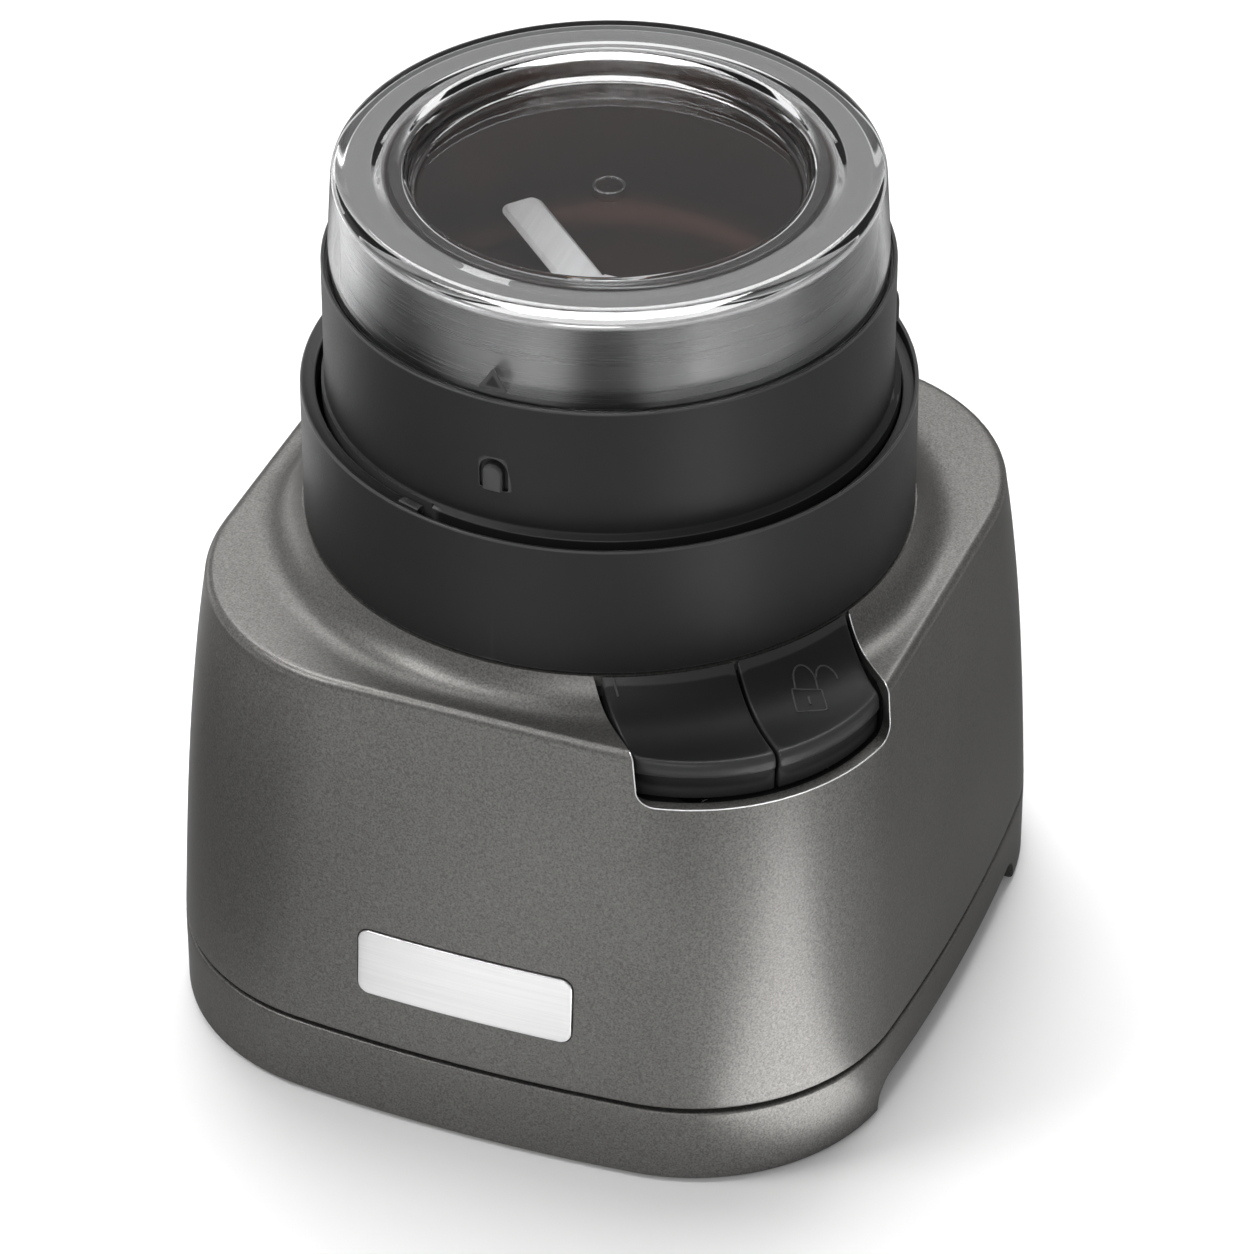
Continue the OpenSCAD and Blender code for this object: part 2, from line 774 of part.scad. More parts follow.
module motor_bolts() {
  nut_h = 3;
  color([0.72, 0.72, 0.74]) at_bolts() {
    translate([0, 0, bracket_z - nut_h])
      cylinder(r = bolt_r, h = upper_z + bracket_t - bracket_z + nut_h);
    translate([0, 0, upper_z + bracket_t]) cylinder(r = 3.5, h = 2.4);
    translate([0, 0, bracket_z - nut_h]) cylinder(r = 3.9, h = nut_h, $fn = 6);
  }
}

module motor_mounts() {
  color([0.15, 0.15, 0.15]) at_mounts() translate([0, 0, tray_top_z + boss_h])
    tube(mount_r, mount_screw_r + fit, mount_h);
}

module mount_screws() {
  color([0.72, 0.72, 0.74]) at_mounts() translate([0, 0, bracket_z + bracket_t])
    mirror([0, 0, 1]) screw(mount_screw_r, mount_h + boss_h + bracket_t - 2, 4, 2.4);
}

// Iron stack: outer frame, two poles on the Y axis, and the bore for the armature
module stator_core() {
  bore_r = armature_r + air_gap;
  frame_t = 8;
  pole_w = 22;
  shoe_w = 30;
  color([0.45, 0.46, 0.48]) translate([0, 0, stack_z]) linear_extrude(stack_h) difference() {
    union() {
      difference() {
        square([stator_w, stator_d], center = true);
        square([stator_w - 2*frame_t, stator_d - 2*frame_t], center = true);
        at_bolts() circle(r = bolt_r + fit);
      }
      difference() {
        for (sx = [-1, 1], sy = [-1, 1]) translate([sx*bolt_x, sy*bolt_y]) circle(r = leg_r);
        at_bolts() circle(r = bolt_r + fit);
      }
      square([pole_w, stator_d - 2], center = true);
      square([shoe_w, 2*(stator_d/2 - frame_t - 6)], center = true);
    }
    circle(r = bore_r);
    square([stator_w - 2*frame_t, bore_r], center = true);
  }
}

// Coils around the necks of the two poles
module field_coils() {
  neck = 22.6;
  wire = 3.4;
  shoe_y = stator_d/2 - 8 - 6;
  deep = 5.4;
  color([0.72, 0.4, 0.2]) for (side = [-1, 1])
    translate([0, side*(shoe_y + 0.3) + (side > 0 ? deep : 0), stack_z + stack_h/2])
      rotate([90, 0, 0]) linear_extrude(deep) difference() {
        round_rect(neck + 2*wire, stack_h + 0.6 + 2*wire, 3);
        square([neck, stack_h + 0.6], center = true);
      }
}

module bearing(z) {
  translate([0, 0, z + 2]) tube(bearing_r, shaft_r + 0.03, bearing_h);
}

module lower_bearing() {
  color([0.75, 0.76, 0.78]) bearing(bracket_z);
}

module upper_bearing() {
  color([0.75, 0.76, 0.78]) bearing(upper_z);
}

module brush_holders() {
  wall = 1.2;
  color([0.78, 0.62, 0.3]) for (h = [0, 180]) rotate([0, 0, h])
    translate([brush_in + 2, 0, commutator_z + commutator_h/2]) {
      difference() {
        translate([0, -brush_w/2 - wall, -brush_h/2 - wall])
          cube([brush_l + 4, brush_w + 2*wall, brush_h + 2*wall]);
        translate([-1, -brush_w/2 - fit, -brush_h/2 - fit])
          cube([brush_l + 3, brush_w + 2*fit, brush_h + 2*fit]);
      }
      translate([4, -brush_w/2 - wall, brush_h/2 + wall - eps])
        cube([8, brush_w + 2*wall,
          upper_z - commutator_z - commutator_h/2 - brush_h/2 - wall + eps]);
    }
}

module carbon_brushes() {
  color([0.2, 0.2, 0.21]) for (h = [0, 180]) rotate([0, 0, h])
    translate([brush_in, -brush_w/2, commutator_z + commutator_h/2 - brush_h/2])
      cube([brush_l, brush_w, brush_h]);
}

module control_board() {
  color([0.1, 0.35, 0.2]) translate([-board_w/2, board_y + fit, board_z])
    cube([board_w, board_t, board_h]);
}

// Capacitor, relay and terminal block on the front of the board
module board_parts() {
  capacitor = [26, 8, 16];
  capacitor_at = [-28, 22];
  relay = [15, 12, 19];
  relay_at = [4, 18];
  terminals = [28, 9, 10];
  terminals_at = [-14, 4];
  color([0.25, 0.3, 0.45]) {
    for (case = [[capacitor, capacitor_at], [relay, relay_at], [terminals, terminals_at]])
      translate([case[1].x, board_y + fit - case[0].y, board_z + case[1].y]) cube(case[0]);
  }
}

// Reed switch under the deck, below the magnet in the mill
module reed_switch() {
  case = [8, 18, 4];
  color([0.3, 0.3, 0.32]) rotate([0, 0, reed_turn])
    translate([reed_s - case.x/2, -case.y/2, deck_z - case.z]) cube(case);
}

// Strip of the key opening in plan, ending at an arc inside the corner of the wall
module key_plan(half_in, half_out, face_r) {
  intersection() {
    translate([frame_back_s, half_in]) square([60, half_out - half_in]);
    translate([corner_s, 0]) circle(r = face_r);
  }
}

module key_frame() {
  face_r = key_face_r + slide_gap;
  ear_w = 2.4;
  back_t = 4;
  side_top_z = shoulder_z - shell_wall - 0.5;
  side_face_r = key_face_r - 0.4;
  side_l = pivot_s + 6 - frame_back_s;
  color([0.09, 0.09, 0.09]) at_keys() difference() {
    union() {
      translate([0, 0, frame_floor_z]) linear_extrude(frame_floor_t)
        key_plan(-frame_half - frame_wall, frame_half + frame_wall, face_r);
      for (side = [-1, 1]) mirror([0, side > 0 ? 0 : 1, 0]) {
        translate([0, 0, frame_floor_z]) linear_extrude(pivot_z - frame_floor_z)
          key_plan(frame_half, frame_half + frame_wall, side_face_r);
        translate([frame_back_s, frame_half, frame_floor_z])
          cube([side_l, frame_wall, side_top_z - frame_floor_z]);
      }
      translate([frame_back_s, -key_half + 4, frame_floor_z])
        cube([back_t, 2*key_half - 8, deck_z - 0.2 - frame_floor_z]);
      translate([frame_back_s, -ear_w/2, frame_floor_z])
        cube([pivot_s - frame_back_s + 3, ear_w, pivot_z + 3 - frame_floor_z]);
    }
    translate([pivot_s, 0, pivot_z]) rotate([90, 0, 0])
      cylinder(r = pivot_r, h = 4*key_half, center = true);
    at_frame_screws() cylinder(r = deck_screw_r + run_fit, h = big);
    rotate([0, 0, latch_turn - key_turn])
      translate([latch_in_s - 5, -latch_w/2 - 3, latch_z - 2.2]) cube([40, latch_w + 6, 40]);
    for (side = [-1, 1]) translate([spring_s, side*key_half/2, spring_low_z])
      cylinder(r = spring_r + wire_r + 0.2, h = 5);
  }
}

module frame_screws() {
  color([0.7, 0.7, 0.72]) at_keys() at_frame_screws() translate([0, 0, frame_floor_z])
    screw(deck_screw_r, deck_z + deck_screw_bite - frame_floor_z, deck_head_r, deck_head_h);
}

module key_pivot_pin() {
  color([0.75, 0.76, 0.78]) at_keys() translate([pivot_s, 0, pivot_z]) rotate([90, 0, 0])
    cylinder(r = pivot_r, h = 2*(frame_half + frame_wall), center = true);
}

module key_switches() {
  color([0.2, 0.22, 0.3]) at_keys() for (side = [-1, 1])
    translate([switch_s, side*key_half/2, frame_top_z]) {
      translate([-switch_l/2, -switch_w/2, 0]) cube([switch_l, switch_w, switch_h]);
      cylinder(r = plunger_r, h = switch_h + plunger_h);
    }
}

// Height of a key's top face at a distance from the drive axis
function key_z(rad) =
  key_top_z + key_rise*pow(max(0, 1 - (rad - throat_r)/key_reach), key_curve);

// Coil spring of round wire between the frame and the underside of a key
function spring_point(i) =
  let (
    turns = i/turn_rings,
    z = mix(spring_low_z + wire_r, spring_top_z - wire_r, i/(spring_turns*turn_rings))
  )
    [spring_r*cos(360*turns), spring_r*sin(360*turns), z];

module coil_spring() {
  rings = [
    for (i = [0:spring_turns*turn_rings])
      let (p = spring_point(i), out = along(360*i/turn_rings))
        [for (j = [0:wire_sides - 1])
          let (c = wire_r*along(-360*j/wire_sides))
            [p.x + c.x*out.x, p.y + c.x*out.y, p.z + c.y]]
  ];
  loft(rings);
}

module key_spring(side) {
  color([0.75, 0.76, 0.78]) at_keys() translate([spring_s, side*key_half/2, 0]) coil_spring();
}

module left_key_spring() {
  key_spring(-1);
}

module right_key_spring() {
  key_spring(1);
}

// Body of a key under its curved top, cut in by skin and starting at in_r from the drive axis
module key_mass(skin, in_r) {
  rings = [for (k = [0:key_steps]) mix(throat_r - 3, corner_s + corner_r + 2, k/key_steps)];
  sweep = 64;
  intersection() {
    rotate([0, 0, -sweep/2]) rotate_extrude(angle = sweep) polygon(concat(
      [[rings[key_steps], key_low_z - skin], [rings[0], key_low_z - skin]],
      [for (r = rings) [r, key_z(max(r, throat_r)) - skin]]
    ));
    translate([0, 0, key_low_z - skin - 1]) linear_extrude(40) difference() {
      key_plan(key_gap/2 + skin, key_half - skin, key_face_r - skin);
      circle(r = in_r);
    }
  }
}

// Point inside the skin over an arm, at a distance from the pivot
function arm_top(arm, l) = [pivot_s + l, key_z(norm([pivot_s + l, arm + key_arm_w])) - 1];

// One key: a curved cap with arms on the pivot pin and a post over its switch
module key_cap() {
  arm_r = 3.1;
  arm_l = 10;
  post_low_z = frame_top_z + switch_h + plunger_h + switch_play;
  difference() {
    union() {
      difference() {
        key_mass(0, key_in_r);
        key_mass(key_skin, key_in_r - 2);
        translate([0, 0, key_low_z - 1]) linear_extrude(key_step_z - key_low_z + 1) difference() {
          translate([60, -5]) square([40, 60]);
          translate([corner_s, 0]) circle(r = key_face_r - key_step);
        }
      }
      for (arm = key_arms) translate([0, arm + key_arm_w, 0]) rotate([90, 0, 0])
        linear_extrude(key_arm_w) {
          translate([pivot_s, pivot_z]) circle(r = arm_r);
          polygon([
            [pivot_s - 1, pivot_z - arm_r + 0.2], [pivot_s + arm_l - 2, pivot_z - 1],
            arm_top(arm, arm_l), arm_top(arm, arm_l - 4), [pivot_s, pivot_z + arm_r - 0.1]
          ]);
        }
      intersection() {
        translate([switch_s, key_half/2, post_low_z]) cylinder(r = plunger_r + 0.5, h = 20);
        key_mass(0, key_in_r);
      }
    }
    translate([pivot_s, 0, pivot_z]) rotate([90, 0, 0])
      cylinder(r = pivot_r + run_fit, h = 4*key_half, center = true);
  }
}

module left_key() {
  color([0.11, 0.11, 0.11]) at_keys() mirror([0, 1, 0]) key_cap();
}

module right_key() {
  color([0.11, 0.11, 0.11]) at_keys() key_cap();
}

// Slider under the deck with a nose that rises beside the mill's skirt
module release_latch() {
  hook_z = keeper_z + slide_gap;
  hook_h = keeper_h - 2*slide_gap;
  hook_out = 0.35;
  color([0.85, 0.85, 0.82]) at_latch() {
    translate([latch_in_s, -latch_w/2, latch_z]) cube([latch_out_s - latch_in_s, latch_w, latch_t]);
    translate([nose_s, -latch_w/2, latch_z]) cube([nose_t, latch_w, hook_z + hook_h - latch_z]);
    translate([nose_s - hook_out, -latch_w/2, hook_z]) cube([nose_t, latch_w, hook_h]);
  }
}

module motor_shaft() {
  color([0.75, 0.76, 0.78]) translate([0, 0, shaft_low_z])
    cylinder(r = shaft_r, h = coupling_z + coupling_h - 1.5 - shaft_low_z);
}

module armature_core() {
  color([0.45, 0.46, 0.48]) translate([0, 0, stack_z]) difference() {
    cylinder(r = armature_r, h = stack_h);
    translate([0, 0, -1]) cylinder(r = shaft_r + run_fit, h = stack_h + 2);
    for (i = [0:armature_slots - 1]) rotate([0, 0, 360*i/armature_slots])
      translate([slot_in, -slot_w/2, -1]) cube([armature_r, slot_w, stack_h + 2]);
  }
}

module armature_windings() {
  turns_r = armature_r - 2;
  color([0.72, 0.4, 0.2]) {
    for (z = [stack_z - turns_h, stack_top_z]) translate([0, 0, z])
      tube(turns_r, shaft_r + 0.4, turns_h);
    for (i = [0:armature_slots - 1]) rotate([0, 0, 360*i/armature_slots])
      translate([slot_in + fit, -slot_w/2 + fit, stack_z - 1])
        cube([turns_r - slot_in - 1, slot_w - 2*fit, stack_h + 2]);
  }
}

module commutator() {
  bars = 12;
  color([0.75, 0.45, 0.25]) translate([0, 0, commutator_z]) difference() {
    tube(commutator_r, shaft_r + run_fit, commutator_h);
    for (i = [0:bars - 1]) rotate([0, 0, 360*i/bars])
      translate([commutator_r - 1, -0.3, -1]) cube([3, 0.6, commutator_h + 2]);
  }
}

module cooling_fan() {
  blades = 12;
  disc_t = 1.6;
  hub_r = shaft_r + 5;
  color([0.2, 0.2, 0.22]) translate([0, 0, fan_z]) difference() {
    union() {
      cylinder(r = hub_r, h = fan_h);
      translate([0, 0, fan_h - disc_t]) cylinder(r = fan_r, h = disc_t);
      for (i = [0:blades - 1]) rotate([0, 0, 360*i/blades])
        translate([hub_r - 1, -0.7, 0]) cube([fan_r - hub_r, 1.4, fan_h]);
    }
    translate([0, 0, -1]) cylinder(r = shaft_r + run_fit, h = fan_h + 2);
  }
}

// Star of the drive coupling, grown for the socket that drops over it
module drive_star(grow) {
  circle(r = coupling_r + grow);
  for (i = [0:coupling_teeth - 1]) rotate(360*i/coupling_teeth)
    translate([0, -coupling_tooth_w/2 - grow])
      square([coupling_tooth_r + grow, coupling_tooth_w + 2*grow]);
}

module drive_coupling() {
  color([0.2, 0.2, 0.2]) translate([0, 0, coupling_z]) difference() {
    linear_extrude(coupling_h) drive_star(0);
    translate([0, 0, -1]) cylinder(r = shaft_r + run_fit, h = coupling_h);
  }
}

// Outline of a lug: upright sides, flat foot and round top
module lug_outline(w, h) {
  translate([-w/2, 0]) square([w, h - w/2]);
  translate([0, h - w/2]) circle(r = w/2);
}

module at_lugs() {
  for (i = [0:lug_count - 1]) rotate([0, 0, lug_turn + 360*i/lug_count])
    translate([0, 0, lug_z]) rotate([90, 0, 0]) children();
}

module mill_body() {
  in_r = mill_r - mill_wall;
  skirt_in_r = skirt_r - mill_wall;
  color([0.14, 0.14, 0.14]) difference() {
    union() {
      difference() {
        rotate_extrude() polygon([
          [skirt_in_r, mill_foot_z], [skirt_r, mill_foot_z], [skirt_r, flange_z - 1],
          [flange_r, flange_z], [flange_r, flange_z + flange_h],
          [mill_r, flange_z + flange_h + slope_h], [mill_r, mill_top_z + lip_h],
          [lid_foot_r + 0.4, mill_top_z + lip_h], [lid_foot_r + 0.4, mill_top_z],
          [cup_hole_r, mill_top_z], [cup_hole_r, mill_top_z - 2.4], [in_r, mill_top_z - 3.6],
          [in_r, shelf_z], [shelf_in_r, shelf_z], [shelf_in_r, shelf_z - shelf_t],
          [in_r, shelf_z - shelf_t - 2], [in_r, flange_z + 1], [skirt_in_r, flange_z - 1]
        ]);
        at_lugs() translate([0, 0, mill_r - pocket_depth]) linear_extrude(10)
          lug_outline(lug_w + 2*pocket_gap, lug_h + pocket_gap);
      }
      at_lugs() translate([0, 0, mill_r - mill_wall + 0.3])
        linear_extrude(mill_wall - 0.3 + lug_out) lug_outline(lug_w, lug_h);
      at_mill_screws() translate([0, 0, mill_plate_z + mill_plate_t + 0.2])
        cylinder(r = 4, h = shelf_z - 1 - mill_plate_z - mill_plate_t);
    }
    rotate_extrude() translate([skirt_r - keeper_depth, keeper_z]) square([10, keeper_h]);
    rotate([0, 0, lip_start - lip_sweep - relief_gap]) rotate_extrude(angle = lip_sweep + 2*relief_gap)
      translate([relief_r, flange_z - 2]) square([4, flange_h + slope_h + 2.5]);
    at_mill_screws() cylinder(r = mill_screw_r + run_fit, h = mill_plate_z + mill_screw_l + 2);
  }
}

module mill_base() {
  hub_r = 18;
  cavity_r = socket_r + 1;
  cavity_top_z = socket_top_z + 0.8;
  color([0.16, 0.16, 0.16]) difference() {
    union() {
      translate([0, 0, mill_plate_z]) cylinder(r = mill_plate_r, h = mill_plate_t);
      translate([0, 0, mill_plate_z])
        cylinder(r = hub_r, h = bowl_z - sheet_t - fit - mill_plate_z);
      rotate([0, 0, reed_turn]) translate([reed_s, 0, mill_plate_z])
        cylinder(r = magnet_r + 2, h = magnet_h + mill_plate_t);
    }
    translate([0, 0, mill_plate_z - 1])
      cylinder(r = cavity_r, h = cavity_top_z - mill_plate_z + 1);
    cylinder(r = bush_r + run_fit, h = big);
    rotate([0, 0, reed_turn]) translate([reed_s, 0, mill_plate_z - 1])
      cylinder(r = magnet_r + run_fit, h = magnet_h + 1.1);
    at_mill_screws() cylinder(r = mill_screw_r + 0.25, h = big);
  }
}

module mill_screws() {
  color([0.7, 0.7, 0.72]) at_mill_screws() translate([0, 0, mill_plate_z])
    screw(mill_screw_r, mill_screw_l, post_head_r, head_h);
}

// Pressed cup: outer band, flat flange, bowl with a rounded corner and a hole for the bush
module steel_cup() {
  outer_r = bowl_r + sheet_t;
  corner = bowl_corner_r + sheet_t;
  low_z = bowl_z - sheet_t;
  color([0.72, 0.72, 0.73]) difference() {
    union() {
      translate([0, 0, cup_top_z - sheet_t]) cylinder(r = cup_r, h = sheet_t);
      translate([0, 0, cup_low_z]) tube(cup_r, cup_r - sheet_t, cup_top_z - cup_low_z - sheet_t/2);
      rotate_extrude() {
        translate([0, low_z + corner]) square([outer_r, cup_top_z - low_z - corner]);
        translate([0, low_z]) square([outer_r - corner, corner + 1]);
        translate([outer_r - corner, low_z + corner]) circle(r = corner);
      }
    }
    rotate_extrude() {
      translate([0, bowl_z + bowl_corner_r]) square([bowl_r, big]);
      translate([0, bowl_z]) square([bowl_r - bowl_corner_r, bowl_corner_r + 1]);
      translate([bowl_r - bowl_corner_r, bowl_z + bowl_corner_r]) circle(r = bowl_corner_r);
    }
    cylinder(r = bush_r + run_fit, h = big);
  }
}

module cup_gasket() {
  color([0.3, 0.3, 0.3]) translate([0, 0, shelf_z + 0.1]) tube(cup_r + 0.2, cup_r - 1.8, gasket_h);
}

module spindle_bush() {
  low_z = socket_top_z + 1.4;
  color([0.7, 0.55, 0.3]) difference() {
    union() {
      translate([0, 0, low_z]) cylinder(r = bush_r, h = bowl_z - low_z + 1);
      translate([0, 0, bowl_z]) cylinder(r = bush_flange_r, h = bush_flange_h);
    }
    cylinder(r = spindle_r + 0.04, h = big);
  }
}

module spindle_seal() {
  color([0.75, 0.74, 0.7]) translate([0, 0, bowl_z + bush_flange_h])
    tube(bush_flange_r - 2, spindle_r + 0.06, seal_lip_h);
}

module interlock_magnet() {
  color([0.6, 0.6, 0.62]) rotate([0, 0, reed_turn]) translate([reed_s, 0, mill_plate_z])
    cylinder(r = magnet_r, h = magnet_h);
}

module blade() {
  hub_r = 8;
  tip_r = 2.5;
  root = 6.6;
  arm_l = blade_tip_r - root;
  color([0.85, 0.85, 0.86]) translate([0, 0, blade_z]) rotate([0, 0, blade_turn]) difference() {
    union() {
      cylinder(r = hub_r, h = blade_t);
      for (h = [0, 180]) rotate([0, 0, h]) translate([root, 0, 0]) rotate([0, -blade_tilt, 0])
        linear_extrude(blade_t) {
          translate([0, -blade_w/2]) square([arm_l - tip_r, blade_w]);
          translate([0, -blade_w/2 + tip_r]) square([arm_l, blade_w - 2*tip_r]);
          for (side = [-1, 1]) translate([arm_l - tip_r, side*(blade_w/2 - tip_r)])
            circle(r = tip_r);
        }
    }
    translate([0, 0, -5]) cylinder(r = thread_r + run_fit, h = 10);
  }
}

module blade_spindle() {
  color([0.75, 0.76, 0.78]) {
    translate([0, 0, socket_web_z]) cylinder(r = spindle_r, h = blade_z - socket_web_z);
    translate([0, 0, bowl_z + bush_flange_h + seal_lip_h + slide_gap])
      cylinder(r = spindle_r + 1.6, h = blade_z - bowl_z - bush_flange_h - seal_lip_h - slide_gap);
    translate([0, 0, blade_z]) cylinder(r = thread_r, h = blade_t + 4);
  }
}

module blade_nut() {
  nut_r = 6;
  nut_h = 4;
  color([0.8, 0.8, 0.81]) translate([0, 0, blade_z + blade_t]) difference() {
    union() {
      cylinder(r = nut_r, h = nut_h, $fn = 6);
      translate([0, 0, nut_h - 1]) intersection() {
        translate([0, 0, -1]) sphere(r = 4.6);
        cylinder(r = nut_r, h = 6);
      }
    }
    translate([0, 0, -1]) cylinder(r = thread_r + run_fit, h = 5.2);
  }
}

module driven_socket() {
  color([0.2, 0.2, 0.2]) difference() {
    translate([0, 0, socket_z]) cylinder(r = socket_r, h = socket_top_z - socket_z);
    translate([0, 0, socket_z - 1]) linear_extrude(socket_web_z - socket_z + 1)
      drive_star(0.4);
    cylinder(r = spindle_r + run_fit, h = big);
  }
}

module lid_seal() {
  color([0.85, 0.85, 0.84, 0.8]) translate([0, 0, lid_plate_z - slide_gap - 4])
    tube(bowl_r - slide_gap, plug_r + slide_gap, 4);
}

// Clear cover: conical skirt, rounded top edge and a well with a flat window
module lid() {
  in_top_r = lid_top_r - lid_wall;
  color([0.85, 0.88, 0.9, 0.35]) rotate_extrude() difference() {
    union() {
      polygon([
        [0, lid_z], [lid_foot_r, lid_z], [lid_top_r, lid_top_z - lid_edge_r],
        [0, lid_top_z - lid_edge_r]
      ]);
      translate([0, lid_top_z - lid_edge_r - 1]) square([lid_top_r - lid_edge_r, lid_edge_r + 1]);
      intersection() {
        translate([lid_top_r - lid_edge_r, lid_top_z - lid_edge_r]) circle(r = lid_edge_r);
        translate([0, lid_top_z - lid_edge_r - 0.2]) square([lid_top_r, lid_edge_r + 1]);
      }
    }
    translate([-1, well_floor_z]) square([well_r + 1, big]);
    polygon([
      [plug_r, lid_z - 1], [lid_foot_r - lid_wall, lid_z - 1], [lid_foot_r - lid_wall, lid_z],
      [in_top_r, lid_plate_z], [plug_r, lid_plate_z]
    ]);
    translate([-1, lid_z - 1]) square([plug_r + 1 + eps, well_floor_z - window_t - lid_z + 1]);
    translate([-1, 0]) square([1, big]);
  }
}

housing();
plinth();
badge_plate();
rubber_feet();
plinth_screws();
cord_gland();
tower_ring();
drive_deck();
deck_screws();
drive_seal();
lower_bracket();
upper_bracket();
motor_bolts();
motor_mounts();
mount_screws();
stator_core();
field_coils();
lower_bearing();
upper_bearing();
brush_holders();
carbon_brushes();
control_board();
board_parts();
reed_switch();
key_frame();
frame_screws();
key_pivot_pin();
key_switches();
left_key_spring();
right_key_spring();
motor_shaft();
armature_core();
armature_windings();
commutator();
cooling_fan();
drive_coupling();
left_key();
right_key();
release_latch();
mill_body();
mill_base();
mill_screws();
steel_cup();
cup_gasket();
spindle_bush();
spindle_seal();
interlock_magnet();
blade();
blade_spindle();
blade_nut();
driven_socket();
lid_seal();
lid();
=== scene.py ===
"""Dresses an electric food chopper: a power base with a drive tower, press keys and a grinding mill."""
import json
from math import atan, cos, hypot, pi, radians, sin, sqrt, tan
from types import SimpleNamespace

import bmesh
import bpy
from bpy.props import FloatProperty, FloatVectorProperty, PointerProperty
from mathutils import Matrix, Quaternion, Vector


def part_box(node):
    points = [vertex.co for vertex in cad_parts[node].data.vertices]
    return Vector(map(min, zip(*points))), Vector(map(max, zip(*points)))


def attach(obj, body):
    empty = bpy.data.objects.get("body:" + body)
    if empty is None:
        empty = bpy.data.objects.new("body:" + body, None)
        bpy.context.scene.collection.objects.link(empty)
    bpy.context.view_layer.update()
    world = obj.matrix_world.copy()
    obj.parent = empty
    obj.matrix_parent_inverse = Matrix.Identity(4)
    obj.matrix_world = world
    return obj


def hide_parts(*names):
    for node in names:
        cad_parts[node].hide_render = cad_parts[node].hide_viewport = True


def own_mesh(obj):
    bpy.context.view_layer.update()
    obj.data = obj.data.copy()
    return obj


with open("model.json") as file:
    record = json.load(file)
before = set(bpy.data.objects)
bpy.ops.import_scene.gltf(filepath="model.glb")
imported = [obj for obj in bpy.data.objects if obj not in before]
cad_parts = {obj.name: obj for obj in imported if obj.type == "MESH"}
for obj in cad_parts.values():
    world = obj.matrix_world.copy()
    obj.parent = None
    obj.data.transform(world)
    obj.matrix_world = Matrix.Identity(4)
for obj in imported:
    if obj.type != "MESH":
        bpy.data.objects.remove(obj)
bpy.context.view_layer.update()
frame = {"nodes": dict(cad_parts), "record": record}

bl_info = {
    "name": "Food chopper",
    "version": (1, 0, 0),
    "blender": (4, 5, 0),
    "location": "View3D > Sidebar > Chopper",
    "description": "Builds the outer pieces, finishes and stage of an electric food chopper",
    "category": "Object",
}

MM = 0.001
KEY_TURN = radians(-45)
TAU = 2*pi
QUARTER = pi/2

# Angle in degrees above which an edge is shaded sharp
SHARP = 32
# Radius, in millimetres, that stands for the axis in a lathe's outline
AXIS = 0.01
# Dark cards that only mirrors see on the floor: place, inner and outer radius in metres, and depth
DARK_CARDS = (
    (-0.22, -0.13, 0.10, 0.21, 0.9),
    (0.21, 0.17, 0.10, 0.32, 0.65),
    (0.13, -0.34, 0.05, 0.14, 0.85),
    (-0.2, 0.55, 0.30, 0.50, 0.9),
)


# Sizes and colours

def size(name, description, default):
    """A length in metres, written here in millimetres."""
    return FloatProperty(name=name, description=description, default=default*MM, unit="LENGTH", precision=5)


def colour(name, description, default):
    return FloatVectorProperty(name=name, description=description, default=default, subtype="COLOR", size=3,
                               min=0, max=1)


def share(name, description, default):
    return FloatProperty(name=name, description=description, default=default, subtype="FACTOR",
                         min=0, max=1)


def top_of(node):
    """Highest point of a node of the frame, in millimetres."""
    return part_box(node)[1].z/MM


def foot_of(node):
    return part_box(node)[0].z/MM


class ChopperBase(bpy.types.PropertyGroup):
    width: size("Width", "Width of the base at its seam", 160)
    depth: size("Depth", "Depth of the base at its seam", 167)
    corner: size("Corner", "Radius of the upright corners", 45)
    bow: size("Bow", "Bulge of each side in its middle", 1.6)
    shoulder: size("Shoulder", "Width and depth across the shoulder", 148)
    shoulder_z: size("Shoulder height", "Height of the shoulder", 102.6)
    edge: size("Shoulder edge", "Radius of the shoulder's edge", 2)
    seam_z: size("Seam height", "Height of the seam above the plinth", 19)
    seam: size("Seam", "Height of the dark line at the seam", 1)
    wall: size("Wall", "Wall of the housing", 2.5)
    flare: size("Flare", "Rise of the top towards the tower", 5.9)
    flare_w: size("Flare width", "Width of the flare around the tower", 11)
    throat: size("Throat", "Radius of the foot of the flare", 63.4)
    floor_gap: size("Floor gap", "Gap under the plinth", 0.8)
    arch_l: size("Arch length", "Length of the arch under each side", 84)
    arch_y: size("Arch place", "Middle of the arch, front to back", -3)
    arch_h: size("Arch height", "Height of the arch", 7.8)
    arch_r: size("Arch corner", "Radius of the arch's upper corners", 6.8)
    badge_w: size("Badge width", "Width of the bare badge", 47)
    badge_h: size("Badge height", "Height of the bare badge", 15.5)
    badge_z: size("Badge height above the floor", "Height of the badge's middle", 39.6)
    badge_x: size("Badge place", "Place of the badge's middle across the front", 0.8)


class ChopperKeys(bpy.types.PropertyGroup):
    width: size("Width", "Width of both keys together", 53.4)
    gap: size("Gap", "Gap between the keys", 0.7)
    clear: size("Clearance", "Gap between the keys and the housing", 1.2)
    slot_z: size("Slot", "Height of the slot's lower edge", 91.4)
    slot_r: size("Slot corner", "Radius of the slot's lower corners", 3)
    low_z: size("Lower edge", "Height of the keys' lower edge", 91)
    top_z: size("Upper edge", "Height of the keys' outer top edge", 100)
    rise: size("Rise", "Rise of the keys towards the tower", 9)
    reach: size("Reach", "Length of that rise", 21)
    skin: size("Skin", "Thickness of the keys' skin", 2.2)
    face: size("Face", "Radius of the keys' outer face", 41.6)


